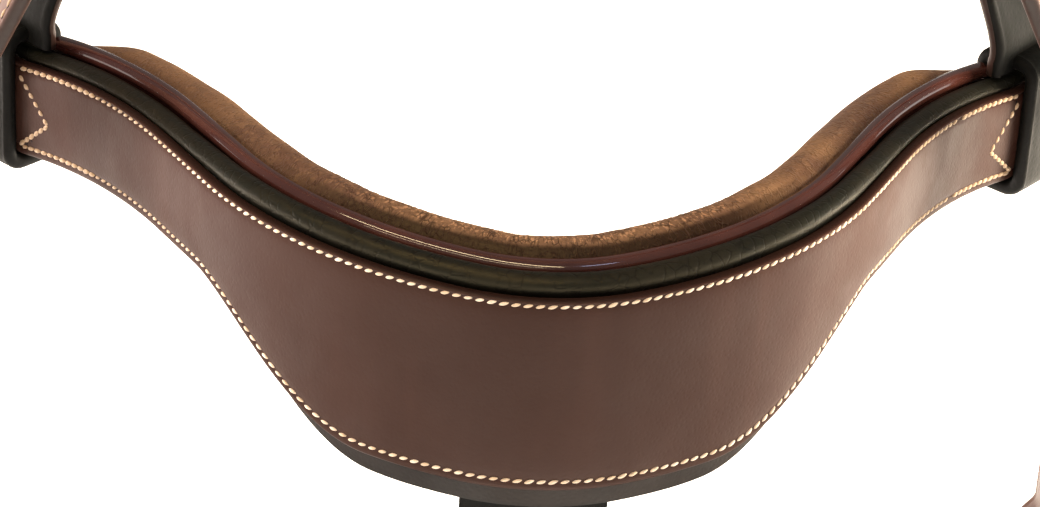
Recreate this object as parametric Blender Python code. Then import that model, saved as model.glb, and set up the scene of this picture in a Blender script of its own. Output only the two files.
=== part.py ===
"""Flash noseband bridle, hung in its worn shape: every strap, pad, loop and buckle at its real size.

Metres, +Z up. The nose points to -Y, so the horse's left side is at +X. The origin is under the middle of
the headpiece pad, where the poll carries the bridle.
"""

import math

import bmesh
import bpy
from mathutils import Matrix, Vector

# Leather and clearances
GAP = 0.0003
STRAP_WIDTH = 0.016
STRAP_THICK = 0.003
EDGE = 0.0006
KEEPER_THICK = 0.0018
KEEPER_LENGTH = 0.008
KEEPER_CORNER = 0.0012
TAIL = 0.060
CUT_OVERRUN = 0.002

# Buckles: wire bar, frame and tongue
BAR_RADIUS = 0.0015
BAR_PLAY = 0.00015
FRAME_LENGTH = 0.016
FRAME_SIDE_PLAY = 0.0008
FRAME_CORNER = 0.003
CHAPE_WALL = 0.00165
TONGUE_RADIUS = 0.0009
TONGUE_PLAY = 0.00025
TONGUE_SIDE_PLAY = 0.00035
TONGUE_REST_PLAY = 0.0002
TONGUE_OVERHANG = 0.0028
TONGUE_LIFT = math.radians(8)
BILLET_BEND_IN = 0.0015
BILLET_BEND_OUT = 0.001
BILLET_DIP_START = 0.004
BILLET_DIP_END = 0.012
BILLET_FILLET = 0.005
HOLE_RADIUS = 0.0016
HOLE_PITCH = 0.020
KEEPER_PLACE = 0.020
RUNNER_PLACE = 0.040
EYE_RADIUS = BAR_RADIUS + TONGUE_PLAY + TONGUE_RADIUS
EYE_OUTSIDE = EYE_RADIUS + TONGUE_RADIUS
CHAPE_RADIUS = BAR_RADIUS + BAR_PLAY + CHAPE_WALL
BILLET_UNDER = BAR_RADIUS + GAP + STRAP_THICK / 2
BILLET_OVER = EYE_OUTSIDE + GAP + STRAP_THICK / 2
BILLET_SEATED = STRAP_THICK + GAP

# Headpiece over the poll
POLL_HALF_WIDTH = 0.065
POLL_CORNER = 0.040
PAD_THICK = 0.007
PAD_END_Z = -0.043
CHEEK_LANE = -0.018
HARDWARE_SPACE = 0.006
SPLIT_SPACE = 0.002
HANGER_LANE = CHEEK_LANE + STRAP_WIDTH + HARDWARE_SPACE
THROAT_LANE = CHEEK_LANE + 2 * STRAP_WIDTH + SPLIT_SPACE
HEADPIECE_SPLIT_Z = -0.034
PAD_OVERHANG = 0.004
HANGER_X = POLL_HALF_WIDTH + PAD_THICK + GAP + STRAP_THICK / 2
HEADPIECE_X = HANGER_X + STRAP_THICK + GAP
BEND_LINE_Z = -0.084
BEND_GAP = 0.0004

# Browband
BROWBAND_Z = -0.060
BROWBAND_WIDTH = 0.020
BROWBAND_FRONT = -0.112
BROWBAND_CORNER = 0.055
BROWBAND_DIP = 0.014
BROWBAND_PAD_THICK = 0.006
BROWBAND_LOOP_THICK = 0.0022
BROWBAND_START = 0.012

# Cheekpieces
CHEEK_BAR_Z = -0.140
CHEEK_FLARE_TOP_Z = -0.290
CHEEK_FLARE_LOW_Z = -0.3543
CHEEK_LOW_X = 0.1115
CHEEK_END_Z = -0.450
CHEEK_FILLET = 0.030
BIT_LOOP_INSIDE = 0.010
BIT_LOOP_CORNER = 0.002
BIT_LOOP_HEIGHT = 0.012
TURN_BACK = 0.050
STUD_HEIGHT = 0.040
STUD_PIN_RADIUS = 0.0015
STUD_HEAD_RADIUS = 0.0035
STUD_HEAD_THICK = 0.001
STUD_HOOK_WIDTH = 0.007
STUD_HOOK_HEIGHT = 0.012

# Throatlash, in a plane that leans back
THROAT_LEAN = math.radians(28)
THROAT_BAR = 0.046
THROAT_DROP = 0.190
THROAT_CORNER = 0.062

# Nosepiece plan: each arc as length and turn, from the middle outwards
NOSE_TOP_Z = -0.330
NOSE_FRONT = -0.1035
NOSE_ARCS = ((0.015, 21), (0.060, 41.5), (0.020, 2), (0.051, -17.5))
NOSE_END = 0.144
NOSE_TAB_END = 0.1625
NOSE_END_DROP = 0.010
SEAM_GAP_MIDDLE = 0.0346
CHIN_STRAP_PLAY = 0.0005
SEAM_GAP_END = STRAP_WIDTH + CHIN_STRAP_PLAY
SEAM_FALL_START = 0.032
SEAM_FALL_END = 0.080
PANEL_THICK = 0.002
PANEL_TOP_MARGIN = 0.001
PANEL_LOW_MARGIN = 0.002
BASE_THICK = 0.0014
BASE_LOW_MARGIN = 0.0059
WELT_RADIUS = 0.0021
WELT_DEPTH = 0.0039
WELT_HEIGHT = 0.0022
PIPING_RADIUS = 0.0017
PIPING_DEPTH = 0.0078
PIPING_HEIGHT = 0.0030
PIPING_FLANGE = 0.0008
PIPING_FLANGE_DROP = 0.007
LINING_FRONT = 0.0085
LINING_BACK = 0.0170
LINING_CROWN_HEIGHT = 0.0055
LINING_CROWN_SIDE = 0.0040
LINING_LOW_MARGIN = 0.0030
LINING_END = 0.142
LINING_PLUMP_LENGTH = 0.012
LINING_FRONT_SINK = 0.0015
NOSE_STEP = 0.0078

# End loops of the nosepiece and the hanger straps
LOOP_WIDTH = 0.016
LOOP_THICK = 0.0028
LOOP_CORNER = 0.003
LOOP_PLACE = NOSE_END + GAP + LOOP_WIDTH / 2
LOOP_INSIDE = 0.0078
HANGER_BAR_Z = -0.200
HANGER_BEND_Z = -0.286
HANGER_LEAN_Z = -0.308
HANGER_LEAN_X = 0.0775
HANGER_LANDING = 0.010
HANGER_FOOT_DEPTH = 0.0040
HANGER_FOOT_SHIFT = 0.005

# Chin part, in a level plane
CHIN_SIDE_X = 0.113
CHIN_SIDE_Y = 0.026
CHIN_BACK_Y = 0.092
CHIN_CORNER = 0.038
CHIN_BAR_X = 0.010
CHIN_PAD_LENGTH = 0.110
CHIN_PAD_THICK = 0.010
CHIN_PAD_HEIGHT = 0.030
CHIN_PAD_CROWN = 0.004
CHIN_LOOP_PLACE = 0.056

# Flash, in a plane that leans down to the chin
FLASH_LEAN = math.radians(35)
FLASH_DEPTH = 0.0138
FLASH_DROP = 0.0215
FLASH_SHIFT = 0.004
FLASH_TAB_LENGTH = 0.0127
FLASH_LOOP_LENGTH = 0.026
FLASH_LOOP_THICK = 0.002
FLASH_HALF_WIDTH = 0.060
FLASH_LONG = 0.130
FLASH_CORNER = 0.036
FLASH_BAR = 0.040

# Looks, as colour, roughness and metallic
BROWN = ((0.115, 0.058, 0.043), 0.45, 0.0)
BLACK = ((0.022, 0.021, 0.020), 0.6, 0.0)
PATENT = ((0.070, 0.022, 0.018), 0.12, 0.0)
PADDING = ((0.190, 0.095, 0.050), 0.75, 0.0)
FOAM = ((0.30, 0.28, 0.24), 0.9, 0.0)
NICKEL = ((0.62, 0.61, 0.58), 0.25, 1.0)

SIDES = {"left": 1, "right": -1}

# Shares of a length or a height
TIP_LENGTH_SHARES = [0.55, 0.25, 0.06]
TIP_WIDTH_SHARES = [1, 0.78, 0.42, 0.2]
SLOT_START_SHARE = 0.33
SLOT_END_SHARE = 0.75
LINING_END_PLUMP_SHARE = 0.55
LINING_WAIST_SHARE = 0.35
CHIN_PAD_SHARES = (-1, -0.86, -0.5, 0, 0.5, 0.86, 1)
CHIN_PAD_ROUND_SHARE = 0.9
CHIN_PAD_END_THICK_SHARE = 0.55
CHIN_PAD_END_HEIGHT_SHARE = 0.7

# Steps round the curves
ARC_STEP = math.radians(18)
ARC_TOLERANCE = 0.0001
STRAIGHT_TURN = math.radians(1)
MITRE_LIMIT_SHARE = 0.5
SECTION_SIDES = 8
ROD_SIDES = 16
HOLE_SIDES = 10
KNUCKLE_SIDES = 36
KNUCKLE_ANGLES = (10, 30, 50, 70)
CURL_ANGLES = range(340, 89, -25)
WELT_ANGLES = range(215, -36, -25)
PIPING_ANGLES = range(-65, 246, 31)
CROWN_ANGLES = range(0, 181, 30)

X_AXIS = Vector((1, 0, 0))
Y_AXIS = Vector((0, 1, 0))
Z_AXIS = Vector((0, 0, 1))
WORLD_ORIGIN = Vector((0, 0, 0))


def clear_scene():
    """Removes the startup objects."""
    for obj in list(bpy.data.objects):
        bpy.data.objects.remove(obj)


def finish(name, look):
    """A Principled material of the piece's own."""
    colour, roughness, metallic = look
    material = bpy.data.materials.new(name)
    material.use_nodes = True
    shader = material.node_tree.nodes["Principled BSDF"]
    shader.inputs["Base Color"].default_value = (*colour, 1)
    shader.inputs["Roughness"].default_value = roughness
    shader.inputs["Metallic"].default_value = metallic
    return material


def frame_of(origin, across, along):
    """A frame whose local X is across, local Y is along and local Z is their cross product."""
    across, along = across.normalized(), along.normalized()
    rotation = Matrix((across, along, across.cross(along))).transposed()
    return Matrix.Translation(origin) @ rotation.to_4x4()


def side_frame(sign, lane):
    """The upright plane of one side's straps: local X points outwards and local Y up."""
    return frame_of(Y_AXIS * lane, X_AXIS * sign, Z_AXIS)


def add_object(name, mesh_builder, look, parent):
    """One named object with its own material, its origin on its parent's joint."""
    mesh = bpy.data.meshes.new(name)
    pivot = parent.matrix_world.translation if parent else WORLD_ORIGIN
    bmesh.ops.translate(mesh_builder, verts=mesh_builder.verts, vec=-pivot)
    bmesh.ops.recalc_face_normals(mesh_builder, faces=mesh_builder.faces)
    mesh_builder.to_mesh(mesh)
    mesh_builder.free()
    mesh.materials.append(finish(name, look))
    obj = bpy.data.objects.new(name, mesh)
    bpy.context.scene.collection.objects.link(obj)
    obj.parent = parent
    return obj


def body(name, place, parent=None):
    """An empty on a joint's axis, for the pieces that move together."""
    empty = bpy.data.objects.new(name, None)
    bpy.context.scene.collection.objects.link(empty)
    empty.parent = parent
    empty.location = place - (parent.matrix_world.translation if parent else WORLD_ORIGIN)
    bpy.context.view_layer.update()
    return empty


def route(corners):
    """A flat path through corners of (x, y, radius), each corner rounded by an arc."""
    points = [Vector(corners[0][:2])]
    for before, corner, after in zip(corners, corners[1:], corners[2:]):
        here, radius = Vector(corner[:2]), corner[2]
        inward = (Vector(before[:2]) - here).normalized()
        outward = (Vector(after[:2]) - here).normalized()
        turn = math.pi - inward.angle(outward)
        if radius == 0 or turn < STRAIGHT_TURN:
            points.append(here)
            continue
        reach = radius * math.tan(turn / 2)
        start, middle = here + inward * reach, (inward + outward).normalized()
        centre = here + middle * (radius / math.cos(turn / 2))
        chord = 2 * math.acos(1 - min(ARC_TOLERANCE / radius, 1))
        steps = max(2, math.ceil(turn / max(chord, ARC_STEP)))
        sense = 1 if inward.cross(outward) < 0 else -1
        for step in range(steps + 1):
            points.append(centre + Matrix.Rotation(sense * turn * step / steps, 2) @ (start - centre))
    points.append(Vector(corners[-1][:2]))
    return points


def box_section(thick, width, edge=EDGE):
    """A strap's section, eight points as (across the thickness, across the width)."""
    half, side = thick / 2, width / 2
    return [
        (half - edge, -side), (half, edge - side), (half, side - edge), (half - edge, side),
        (edge - half, side), (-half, side - edge), (-half, edge - side), (edge - half, -side),
    ]


def round_section(radius, sides=SECTION_SIDES):
    """A wire's section."""
    turns = [math.tau * k / sides for k in range(sides)]
    return [(radius * math.cos(t), radius * math.sin(t)) for t in turns]


def loft(rings, closed=False):
    """A closed mesh through rings of points, capped at both ends unless the rings close on themselves."""
    bm = bmesh.new()
    loops = [[bm.verts.new(point) for point in ring] for ring in rings]
    pairs = list(zip(loops, loops[1:])) + ([(loops[-1], loops[0])] if closed else [])
    for first, second in pairs:
        for k in range(len(first)):
            bm.faces.new((first[k - 1], first[k], second[k], second[k - 1]))
    if not closed:
        bm.faces.new(list(reversed(loops[0])))
        bm.faces.new(loops[-1])
    return bm


def sweep(frame, path, section, closed=False, width_shares=None):
    """A section carried along a flat path of the frame. Its thickness stays square to the path."""
    count = len(path)
    rings = []
    for k, point in enumerate(path):
        before = path[k - 1] if k or closed else path[k]
        after = path[(k + 1) % count] if k + 1 < count or closed else path[k]
        entering = (point - before).normalized() if point != before else (after - point).normalized()
        leaving = (after - point).normalized() if after != point else entering
        tangent = (entering + leaving).normalized()
        normal = Vector((tangent.y, -tangent.x))
        stretch = 1 / max(math.cos(entering.angle(leaving) / 2), MITRE_LIMIT_SHARE)
        share = width_shares[k] if width_shares else 1
        rings.append([
            frame @ Vector((*(point + normal * out * stretch), side * share)) for out, side in section
        ])
    return loft(rings, closed)


def ribbon(frame, path, width=STRAP_WIDTH, thick=STRAP_THICK, tip=False, knuckle=False):
    """A flat strap along a path. A tip points its far end, and a knuckle rounds its near end."""
    shares = [1] * len(path)
    if tip:
        last, before = path[-1], path[-2]
        direction = (last - before).normalized()
        path = path[:-1] + [last - direction * width * share for share in TIP_LENGTH_SHARES] + [last]
        shares = shares[:-1] + TIP_WIDTH_SHARES
    if knuckle:
        direction = (path[0] - path[1]).normalized()
        turns = [math.radians(angle) for angle in KNUCKLE_ANGLES]
        path = [path[0] + direction * width / 2 * math.cos(turn) for turn in turns] + path
        shares = [math.sin(turn) for turn in turns] + shares
    return sweep(frame, path, box_section(thick, width), width_shares=shares)


def knuckle_cut(obj, name, lane):
    """Hollows both ends of a piece over the poll, so that the round ends below can turn in them."""
    frame = frame_of(Vector((0, lane, BEND_LINE_Z)), Y_AXIS, Z_AXIS)
    reach = HEADPIECE_X + STRAP_THICK + CUT_OVERRUN
    cutter = rod(frame, (0, 0, 0), STRAP_WIDTH / 2 + BEND_GAP, 2 * reach, KNUCKLE_SIDES)
    apply_tool(obj, add_tool(name, cutter), "DIFFERENCE")


def ring_path(low, high, corner):
    """A closed rounded rectangle between two opposite corners."""
    middle = (low[0] + high[0]) / 2
    corners = [
        (middle, low[1], 0), (high[0], low[1], corner), (high[0], high[1], corner),
        (low[0], high[1], corner), (low[0], low[1], corner), (middle, low[1], 0),
    ]
    return route(corners)[:-1]


def add_tool(name, bm):
    """A hidden mesh for a Boolean."""
    tool = add_object(name, bm, FOAM, None)
    tool.hide_render = True
    tool.display_type = "WIRE"
    return tool


def apply_tool(obj, tool, operation):
    """Adds a Boolean, which keeps its default EXACT solver."""
    modifier = obj.modifiers.new(tool.name, "BOOLEAN")
    modifier.object = tool
    modifier.operation = operation


def block(frame, low, high):
    """A box between two corners of a frame."""
    bm = bmesh.new()
    bmesh.ops.create_cube(bm, size=1)
    size = Vector(high) - Vector(low)
    centre = (Vector(high) + Vector(low)) / 2
    bm.transform(frame @ Matrix.Translation(centre) @ Matrix.Diagonal((*size, 1)))
    return bm


def rod(frame, centre, radius, length, sides=ROD_SIDES):
    """A cylinder along the frame's local Z."""
    bm = bmesh.new()
    bmesh.ops.create_cone(bm, cap_ends=True, segments=sides, radius1=radius, radius2=radius, depth=length)
    bm.transform(frame @ Matrix.Translation(Vector(centre)))
    return bm


class Buckle:
    """A wire buckle at the end of one strap, with the billet of the other strap passing through it.

    Its frame has local X along the strap towards the billet's own strap, local Y outwards, off the horse,
    and local Z across the strap. The bar is at the frame's origin.
    """

    def __init__(self, prefix, plane, bar, towards, outwards):
        self.prefix = prefix
        self.plane = plane
        self.bar = Vector(bar)
        self.towards = Vector(towards).normalized()
        self.outwards = Vector(outwards).normalized()
        rotation = plane.to_3x3()
        along = rotation @ Vector((*self.towards, 0))
        out = rotation @ Vector((*self.outwards, 0))
        self.frame = frame_of(plane @ Vector((*self.bar, 0)), along, out)

    def at(self, along, out, radius=0.0):
        """A corner of a path in the strap's plane, from a place in the buckle."""
        return (*(self.bar + self.towards * along + self.outwards * out), radius)

    def billet_corners(self, tail=TAIL):
        """The billet's way under the far bar, over the near bar and down along the strap."""
        return [
            self.at(FRAME_LENGTH - BILLET_BEND_OUT, -BILLET_UNDER, BILLET_FILLET),
            self.at(BILLET_BEND_IN, BILLET_OVER, BILLET_FILLET),
            self.at(-BILLET_DIP_START, BILLET_OVER, BILLET_FILLET),
            self.at(-BILLET_DIP_END, BILLET_SEATED, BILLET_FILLET),
            self.at(-tail, BILLET_SEATED),
        ]

    def make_hardware(self, parent):
        """The wire frame, and the tongue curled round its bar on a joint of its own."""
        side = STRAP_WIDTH / 2 + FRAME_SIDE_PLAY + BAR_RADIUS
        level = self.frame @ Matrix.Rotation(-math.pi / 2, 4, "X")
        ring = ring_path((0, -side), (FRAME_LENGTH, side), FRAME_CORNER)
        wire = sweep(level, ring, round_section(BAR_RADIUS), closed=True)
        add_object(f"{self.prefix}_buckle_frame", wire, NICKEL, parent)
        curl = [math.radians(angle) for angle in CURL_ANGLES]
        path = [Vector((math.cos(a), math.sin(a))) * EYE_RADIUS for a in curl]
        rest = BAR_RADIUS + TONGUE_REST_PLAY + TONGUE_RADIUS
        tip = FRAME_LENGTH + TONGUE_OVERHANG
        path += [Vector((FRAME_LENGTH, rest)), Vector((tip, rest - TONGUE_RADIUS / 2))]
        pivot = body(f"{self.prefix}_tongue_axis", self.frame.translation, parent)
        tongue = sweep(self.frame, path, round_section(TONGUE_RADIUS))
        add_object(f"{self.prefix}_buckle_tongue", tongue, NICKEL, pivot)

    def fit_chape(self, strap):
        """Folds the strap's end round the bar: a round end, a bore for the bar and a slot for the tongue."""
        slot = TONGUE_RADIUS + TONGUE_SIDE_PLAY
        reach = EYE_OUTSIDE + GAP
        fold = rod(self.frame, (0, 0, 0), CHAPE_RADIUS, STRAP_WIDTH - EDGE)
        bore = rod(self.frame, (0, 0, 0), BAR_RADIUS + BAR_PLAY, STRAP_WIDTH + CUT_OVERRUN)
        gap = block(self.frame, (-reach, -reach, -slot), (reach + CUT_OVERRUN, reach, slot))
        apply_tool(strap, add_tool(f"{self.prefix}_chape_fold", fold), "UNION")
        apply_tool(strap, add_tool(f"{self.prefix}_chape_bore", bore), "DIFFERENCE")
        apply_tool(strap, add_tool(f"{self.prefix}_chape_slot", gap), "DIFFERENCE")

    def fit_billet(self, billet, spare_above=2, spare_below=1):
        """Cuts the tongue's hole, tapered for its lift, and the spare holes on both sides of it."""
        low = EYE_RADIUS - TONGUE_RADIUS - GAP
        high = EYE_OUTSIDE + GAP
        start, end = BILLET_BEND_IN * SLOT_START_SHARE, FRAME_LENGTH * SLOT_END_SHARE
        half = TONGUE_RADIUS + TONGUE_SIDE_PLAY
        rise = math.tan(TONGUE_LIFT)
        outline = [(start, low), (end, low), (end, high + end * rise), (start, high + start * rise)]
        rings = [[self.frame @ Vector((*point, side)) for point in outline] for side in (-half, half)]
        apply_tool(billet, add_tool(f"{self.prefix}_tongue_hole", loft(rings)), "DIFFERENCE")
        upright = self.frame @ Matrix.Rotation(-math.pi / 2, 4, "X")
        above, below = range(1, spare_above + 1), range(2, spare_below + 2)
        places = [(FRAME_LENGTH / 2 + HOLE_PITCH * k, -BILLET_UNDER) for k in above]
        places += [(FRAME_LENGTH / 2 - HOLE_PITCH * k, BILLET_SEATED) for k in below]
        for k, (along, out) in enumerate(places):
            hole = rod(upright, (along, 0, out), HOLE_RADIUS, STRAP_THICK + CUT_OVERRUN, HOLE_SIDES)
            apply_tool(billet, add_tool(f"{self.prefix}_hole_{k}", hole), "DIFFERENCE")

    def make_keepers(self, parent, look):
        """A fixed keeper and a sliding runner, both round the strap and the billet's tail."""
        grow = GAP + KEEPER_THICK / 2
        low = (-STRAP_THICK / 2 - grow, -STRAP_WIDTH / 2 - grow)
        high = (BILLET_SEATED + STRAP_THICK / 2 + grow, STRAP_WIDTH / 2 + grow)
        around = ring_path(low, high, KEEPER_CORNER)
        for name, place in (("keeper", KEEPER_PLACE), ("runner", RUNNER_PLACE)):
            across = self.frame.to_3x3() @ Y_AXIS
            wide = self.frame.to_3x3() @ Z_AXIS
            centre = self.frame @ Vector((-place, 0, 0))
            ring = frame_of(centre, across, wide)
            owner = parent if name == "keeper" else body(f"{self.prefix}_runner_axis", centre, parent)
            band = sweep(ring, around, box_section(KEEPER_THICK, KEEPER_LENGTH, EDGE / 2), closed=True)
            add_object(f"{self.prefix}_{name}", band, look, owner)


def nose_plan(s):
    """The place and heading of the nosepiece's outer face in plan, at a distance s from its middle."""
    place, heading = Vector((0, NOSE_FRONT)), 0.0
    left = abs(s)
    for k, (length, turn) in enumerate(NOSE_ARCS):
        run = left if k == len(NOSE_ARCS) - 1 else min(left, length)
        bent = math.radians(turn) * min(run, length) / length
        chord = min(run, length)
        if abs(bent) > 0:
            chord *= math.sin(bent / 2) / (bent / 2)
        place += chord * Vector((math.cos(heading + bent / 2), math.sin(heading + bent / 2)))
        heading += bent
        place += max(run - length, 0) * Vector((math.cos(heading), math.sin(heading)))
        left -= run
    if s < 0:
        return Vector((-place.x, place.y)), -heading
    return place, heading


def nose_point(s, depth, height):
    """A point of the nosepiece: depth is inwards from its outer face, height above the upper seam."""
    place, heading = nose_plan(s)
    inward = Vector((-math.sin(heading), math.cos(heading)))
    drop = NOSE_END_DROP * (min(abs(s), NOSE_END) / NOSE_END) ** 3
    return Vector((*(place + inward * depth), NOSE_TOP_Z - drop + height))


def seam_gap(s):
    """The height between the two seams, wide in the middle and narrow towards the ends."""
    share = min(max((abs(s) - SEAM_FALL_START) / (SEAM_FALL_END - SEAM_FALL_START), 0), 1)
    return SEAM_GAP_END + (SEAM_GAP_MIDDLE - SEAM_GAP_END) * (1 + math.cos(math.pi * share)) / 2


def nose_stations(end):
    """Distances along the nosepiece from end to end. All layers share them, but for their ends."""
    steps = [NOSE_STEP * k for k in range(1, round(end / NOSE_STEP))] + [end]
    return [-step for step in reversed(steps)] + [0] + steps


def nose_loft(name, end, section, look, parent):
    """One layer of the nosepiece, from a section of (depth, height) at each station."""
    rings = [[nose_point(s, depth, height) for depth, height in section(s)] for s in nose_stations(end)]
    add_object(name, loft(rings), look, parent)


def panel_section(s):
    """The outer leather, its two edges a little rounded."""
    top, low = PANEL_TOP_MARGIN, -seam_gap(s) - PANEL_LOW_MARGIN
    return [
        (EDGE, top), (PANEL_THICK, top), (PANEL_THICK, low), (EDGE, low), (0, low + EDGE), (0, top - EDGE),
    ]


def base_section(s):
    """The base leather with the black rolled welt along its upper edge."""
    front = PANEL_THICK + GAP
    back = front + BASE_THICK
    low = -seam_gap(s) - BASE_LOW_MARGIN
    foot = WELT_HEIGHT - WELT_RADIUS
    leather = [(back, foot), (back, low + EDGE), (back - EDGE, low), (front, low), (front, foot)]
    return leather + roll_outline()


def roll_outline():
    """The welt's roll, from its front foot over the top to its back foot."""
    turns = [math.radians(angle) for angle in WELT_ANGLES]
    return [(WELT_DEPTH + WELT_RADIUS * math.cos(a), WELT_HEIGHT + WELT_RADIUS * math.sin(a)) for a in turns]


def piping_section(s):
    """The patent piping with the flange that is sewn in below it."""
    half = PIPING_FLANGE / 2
    turns = [math.radians(angle) for angle in PIPING_ANGLES]
    pipe = [(PIPING_DEPTH + PIPING_RADIUS * math.cos(a), PIPING_HEIGHT + PIPING_RADIUS * math.sin(a))
            for a in turns]
    foot = -PIPING_FLANGE_DROP
    return pipe + [(PIPING_DEPTH - half, foot), (PIPING_DEPTH + half, foot)]


def core_section(s):
    """The foam between the base leather and the piping's flange."""
    front = PANEL_THICK + BASE_THICK + 2 * GAP
    back = PIPING_DEPTH - PIPING_FLANGE / 2 - GAP
    top = WELT_HEIGHT - WELT_RADIUS - GAP - EDGE
    low = -seam_gap(s) - PANEL_LOW_MARGIN
    return [(front, top), (back, top), (back, low), (front, low)]


def lining_section(s):
    """The padded lining: a crown along the top, a plump back and a drawn-in lower edge."""
    plump = min(1.0, (LINING_END - abs(s)) / LINING_PLUMP_LENGTH)
    plump = LINING_END_PLUMP_SHARE + (1 - LINING_END_PLUMP_SHARE) * math.sin(plump * math.pi / 2)
    back = LINING_FRONT + (LINING_BACK - LINING_FRONT) * plump
    middle = (LINING_FRONT + GAP + back) / 2 + EDGE
    low = -seam_gap(s) - LINING_LOW_MARGIN
    shoulder = back - middle
    turns = [math.radians(angle) for angle in CROWN_ANGLES]
    crown_base = LINING_CROWN_HEIGHT - LINING_CROWN_SIDE
    rise = LINING_CROWN_SIDE * plump
    crown = [(middle + shoulder * math.cos(a), crown_base + rise * math.sin(a)) for a in turns]
    waist = low + (crown_base - low) * LINING_WAIST_SHARE
    pinch = back - LINING_FRONT_SINK
    return crown + [
        (LINING_FRONT + GAP, crown_base - LINING_CROWN_SIDE / 2), (LINING_FRONT, low + EDGE),
        (LINING_FRONT + EDGE, low), (middle, low - EDGE), (pinch, low + EDGE * 2), (back, waist),
        (back, crown_base - LINING_CROWN_SIDE),
    ]


def make_headpiece(root):
    """The crown leather with its split ends, its pad and the noseband's crown strap between them."""
    def over_poll(x, end_z):
        top = x - POLL_HALF_WIDTH
        corner = POLL_CORNER + top
        return route([(-x, end_z, 0), (-x, top, corner), (x, top, corner), (x, end_z, 0)])

    front = CHEEK_LANE - STRAP_WIDTH / 2
    back = THROAT_LANE + STRAP_WIDTH / 2
    lane = (front + back) / 2
    crown_frame = side_frame(1, lane)
    crown = ribbon(crown_frame, over_poll(HEADPIECE_X, BEND_LINE_Z + BEND_GAP), back - front)
    headpiece = add_object("headpiece", crown, BROWN, root)
    slit_front = CHEEK_LANE + STRAP_WIDTH / 2
    slit_back = THROAT_LANE - STRAP_WIDTH / 2
    reach = HEADPIECE_X + STRAP_THICK + CUT_OVERRUN
    for side, sign in SIDES.items():
        outer, inner = sorted((sign * reach, sign * POLL_HALF_WIDTH))
        slit = block(Matrix.Identity(4), (outer, slit_front, BEND_LINE_Z - CUT_OVERRUN),
                     (inner, slit_back, HEADPIECE_SPLIT_Z))
        apply_tool(headpiece, add_tool(f"headpiece_slit_{side}", slit), "DIFFERENCE")
    knuckle_cut(headpiece, "headpiece_knuckles", THROAT_LANE)
    pad_width = back - front + 2 * PAD_OVERHANG
    pad = ribbon(crown_frame, over_poll(POLL_HALF_WIDTH + PAD_THICK / 2, PAD_END_Z), pad_width, PAD_THICK)
    add_object("headpiece_pad", pad, PADDING, root)
    crown_strap = ribbon(side_frame(1, HANGER_LANE), over_poll(HANGER_X, BEND_LINE_Z + BEND_GAP))
    crown_strap = add_object("noseband_crown_strap", crown_strap, BLACK, root)
    knuckle_cut(crown_strap, "crown_strap_knuckles", HANGER_LANE)


def make_browband(root):
    """The browband, its lining pad and a loop at each end round the headpiece's straps."""
    axis = body("browband_axis", Vector((0, 0, BROWBAND_Z)), root)
    front_lane = CHEEK_LANE - STRAP_WIDTH / 2
    back_lane = THROAT_LANE + STRAP_WIDTH / 2
    grow = GAP + BROWBAND_LOOP_THICK / 2
    low = HANGER_X - STRAP_THICK / 2 - grow
    high = HEADPIECE_X + STRAP_THICK / 2 + grow
    strap_x = high + BROWBAND_LOOP_THICK / 2 + GAP + STRAP_THICK / 2
    level = frame_of(Z_AXIS * BROWBAND_Z, X_AXIS, Y_AXIS)
    for side, sign in SIDES.items():
        near, far = sorted((sign * low, sign * high))
        around = ring_path((near, front_lane - grow), (far, back_lane + grow), KEEPER_CORNER)
        band = sweep(level, around, box_section(BROWBAND_LOOP_THICK, BROWBAND_WIDTH, EDGE / 2), closed=True)
        add_object(f"browband_loop_{side}", band, BROWN, axis)
    corner = BROWBAND_CORNER
    path = route([
        (strap_x, BROWBAND_START, 0), (strap_x, BROWBAND_FRONT + BROWBAND_DIP, corner),
        (0, BROWBAND_FRONT, corner * 2),
        (-strap_x, BROWBAND_FRONT + BROWBAND_DIP, corner), (-strap_x, BROWBAND_START, 0),
    ])
    add_object("browband", ribbon(level, path, BROWBAND_WIDTH), BROWN, axis)
    inset = STRAP_THICK / 2 + GAP + BROWBAND_PAD_THICK / 2
    pad_x = strap_x - inset
    pad_front = BROWBAND_FRONT + inset
    pad_start = front_lane - grow * 2 - EDGE
    pad_path = route([
        (pad_x, pad_start, 0), (pad_x, pad_front + BROWBAND_DIP, corner - inset),
        (0, pad_front, corner * 2),
        (-pad_x, pad_front + BROWBAND_DIP, corner - inset), (-pad_x, pad_start, 0),
    ])
    pad = ribbon(level, pad_path, BROWBAND_WIDTH, BROWBAND_PAD_THICK)
    add_object("browband_pad", pad, PADDING, axis)


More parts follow.
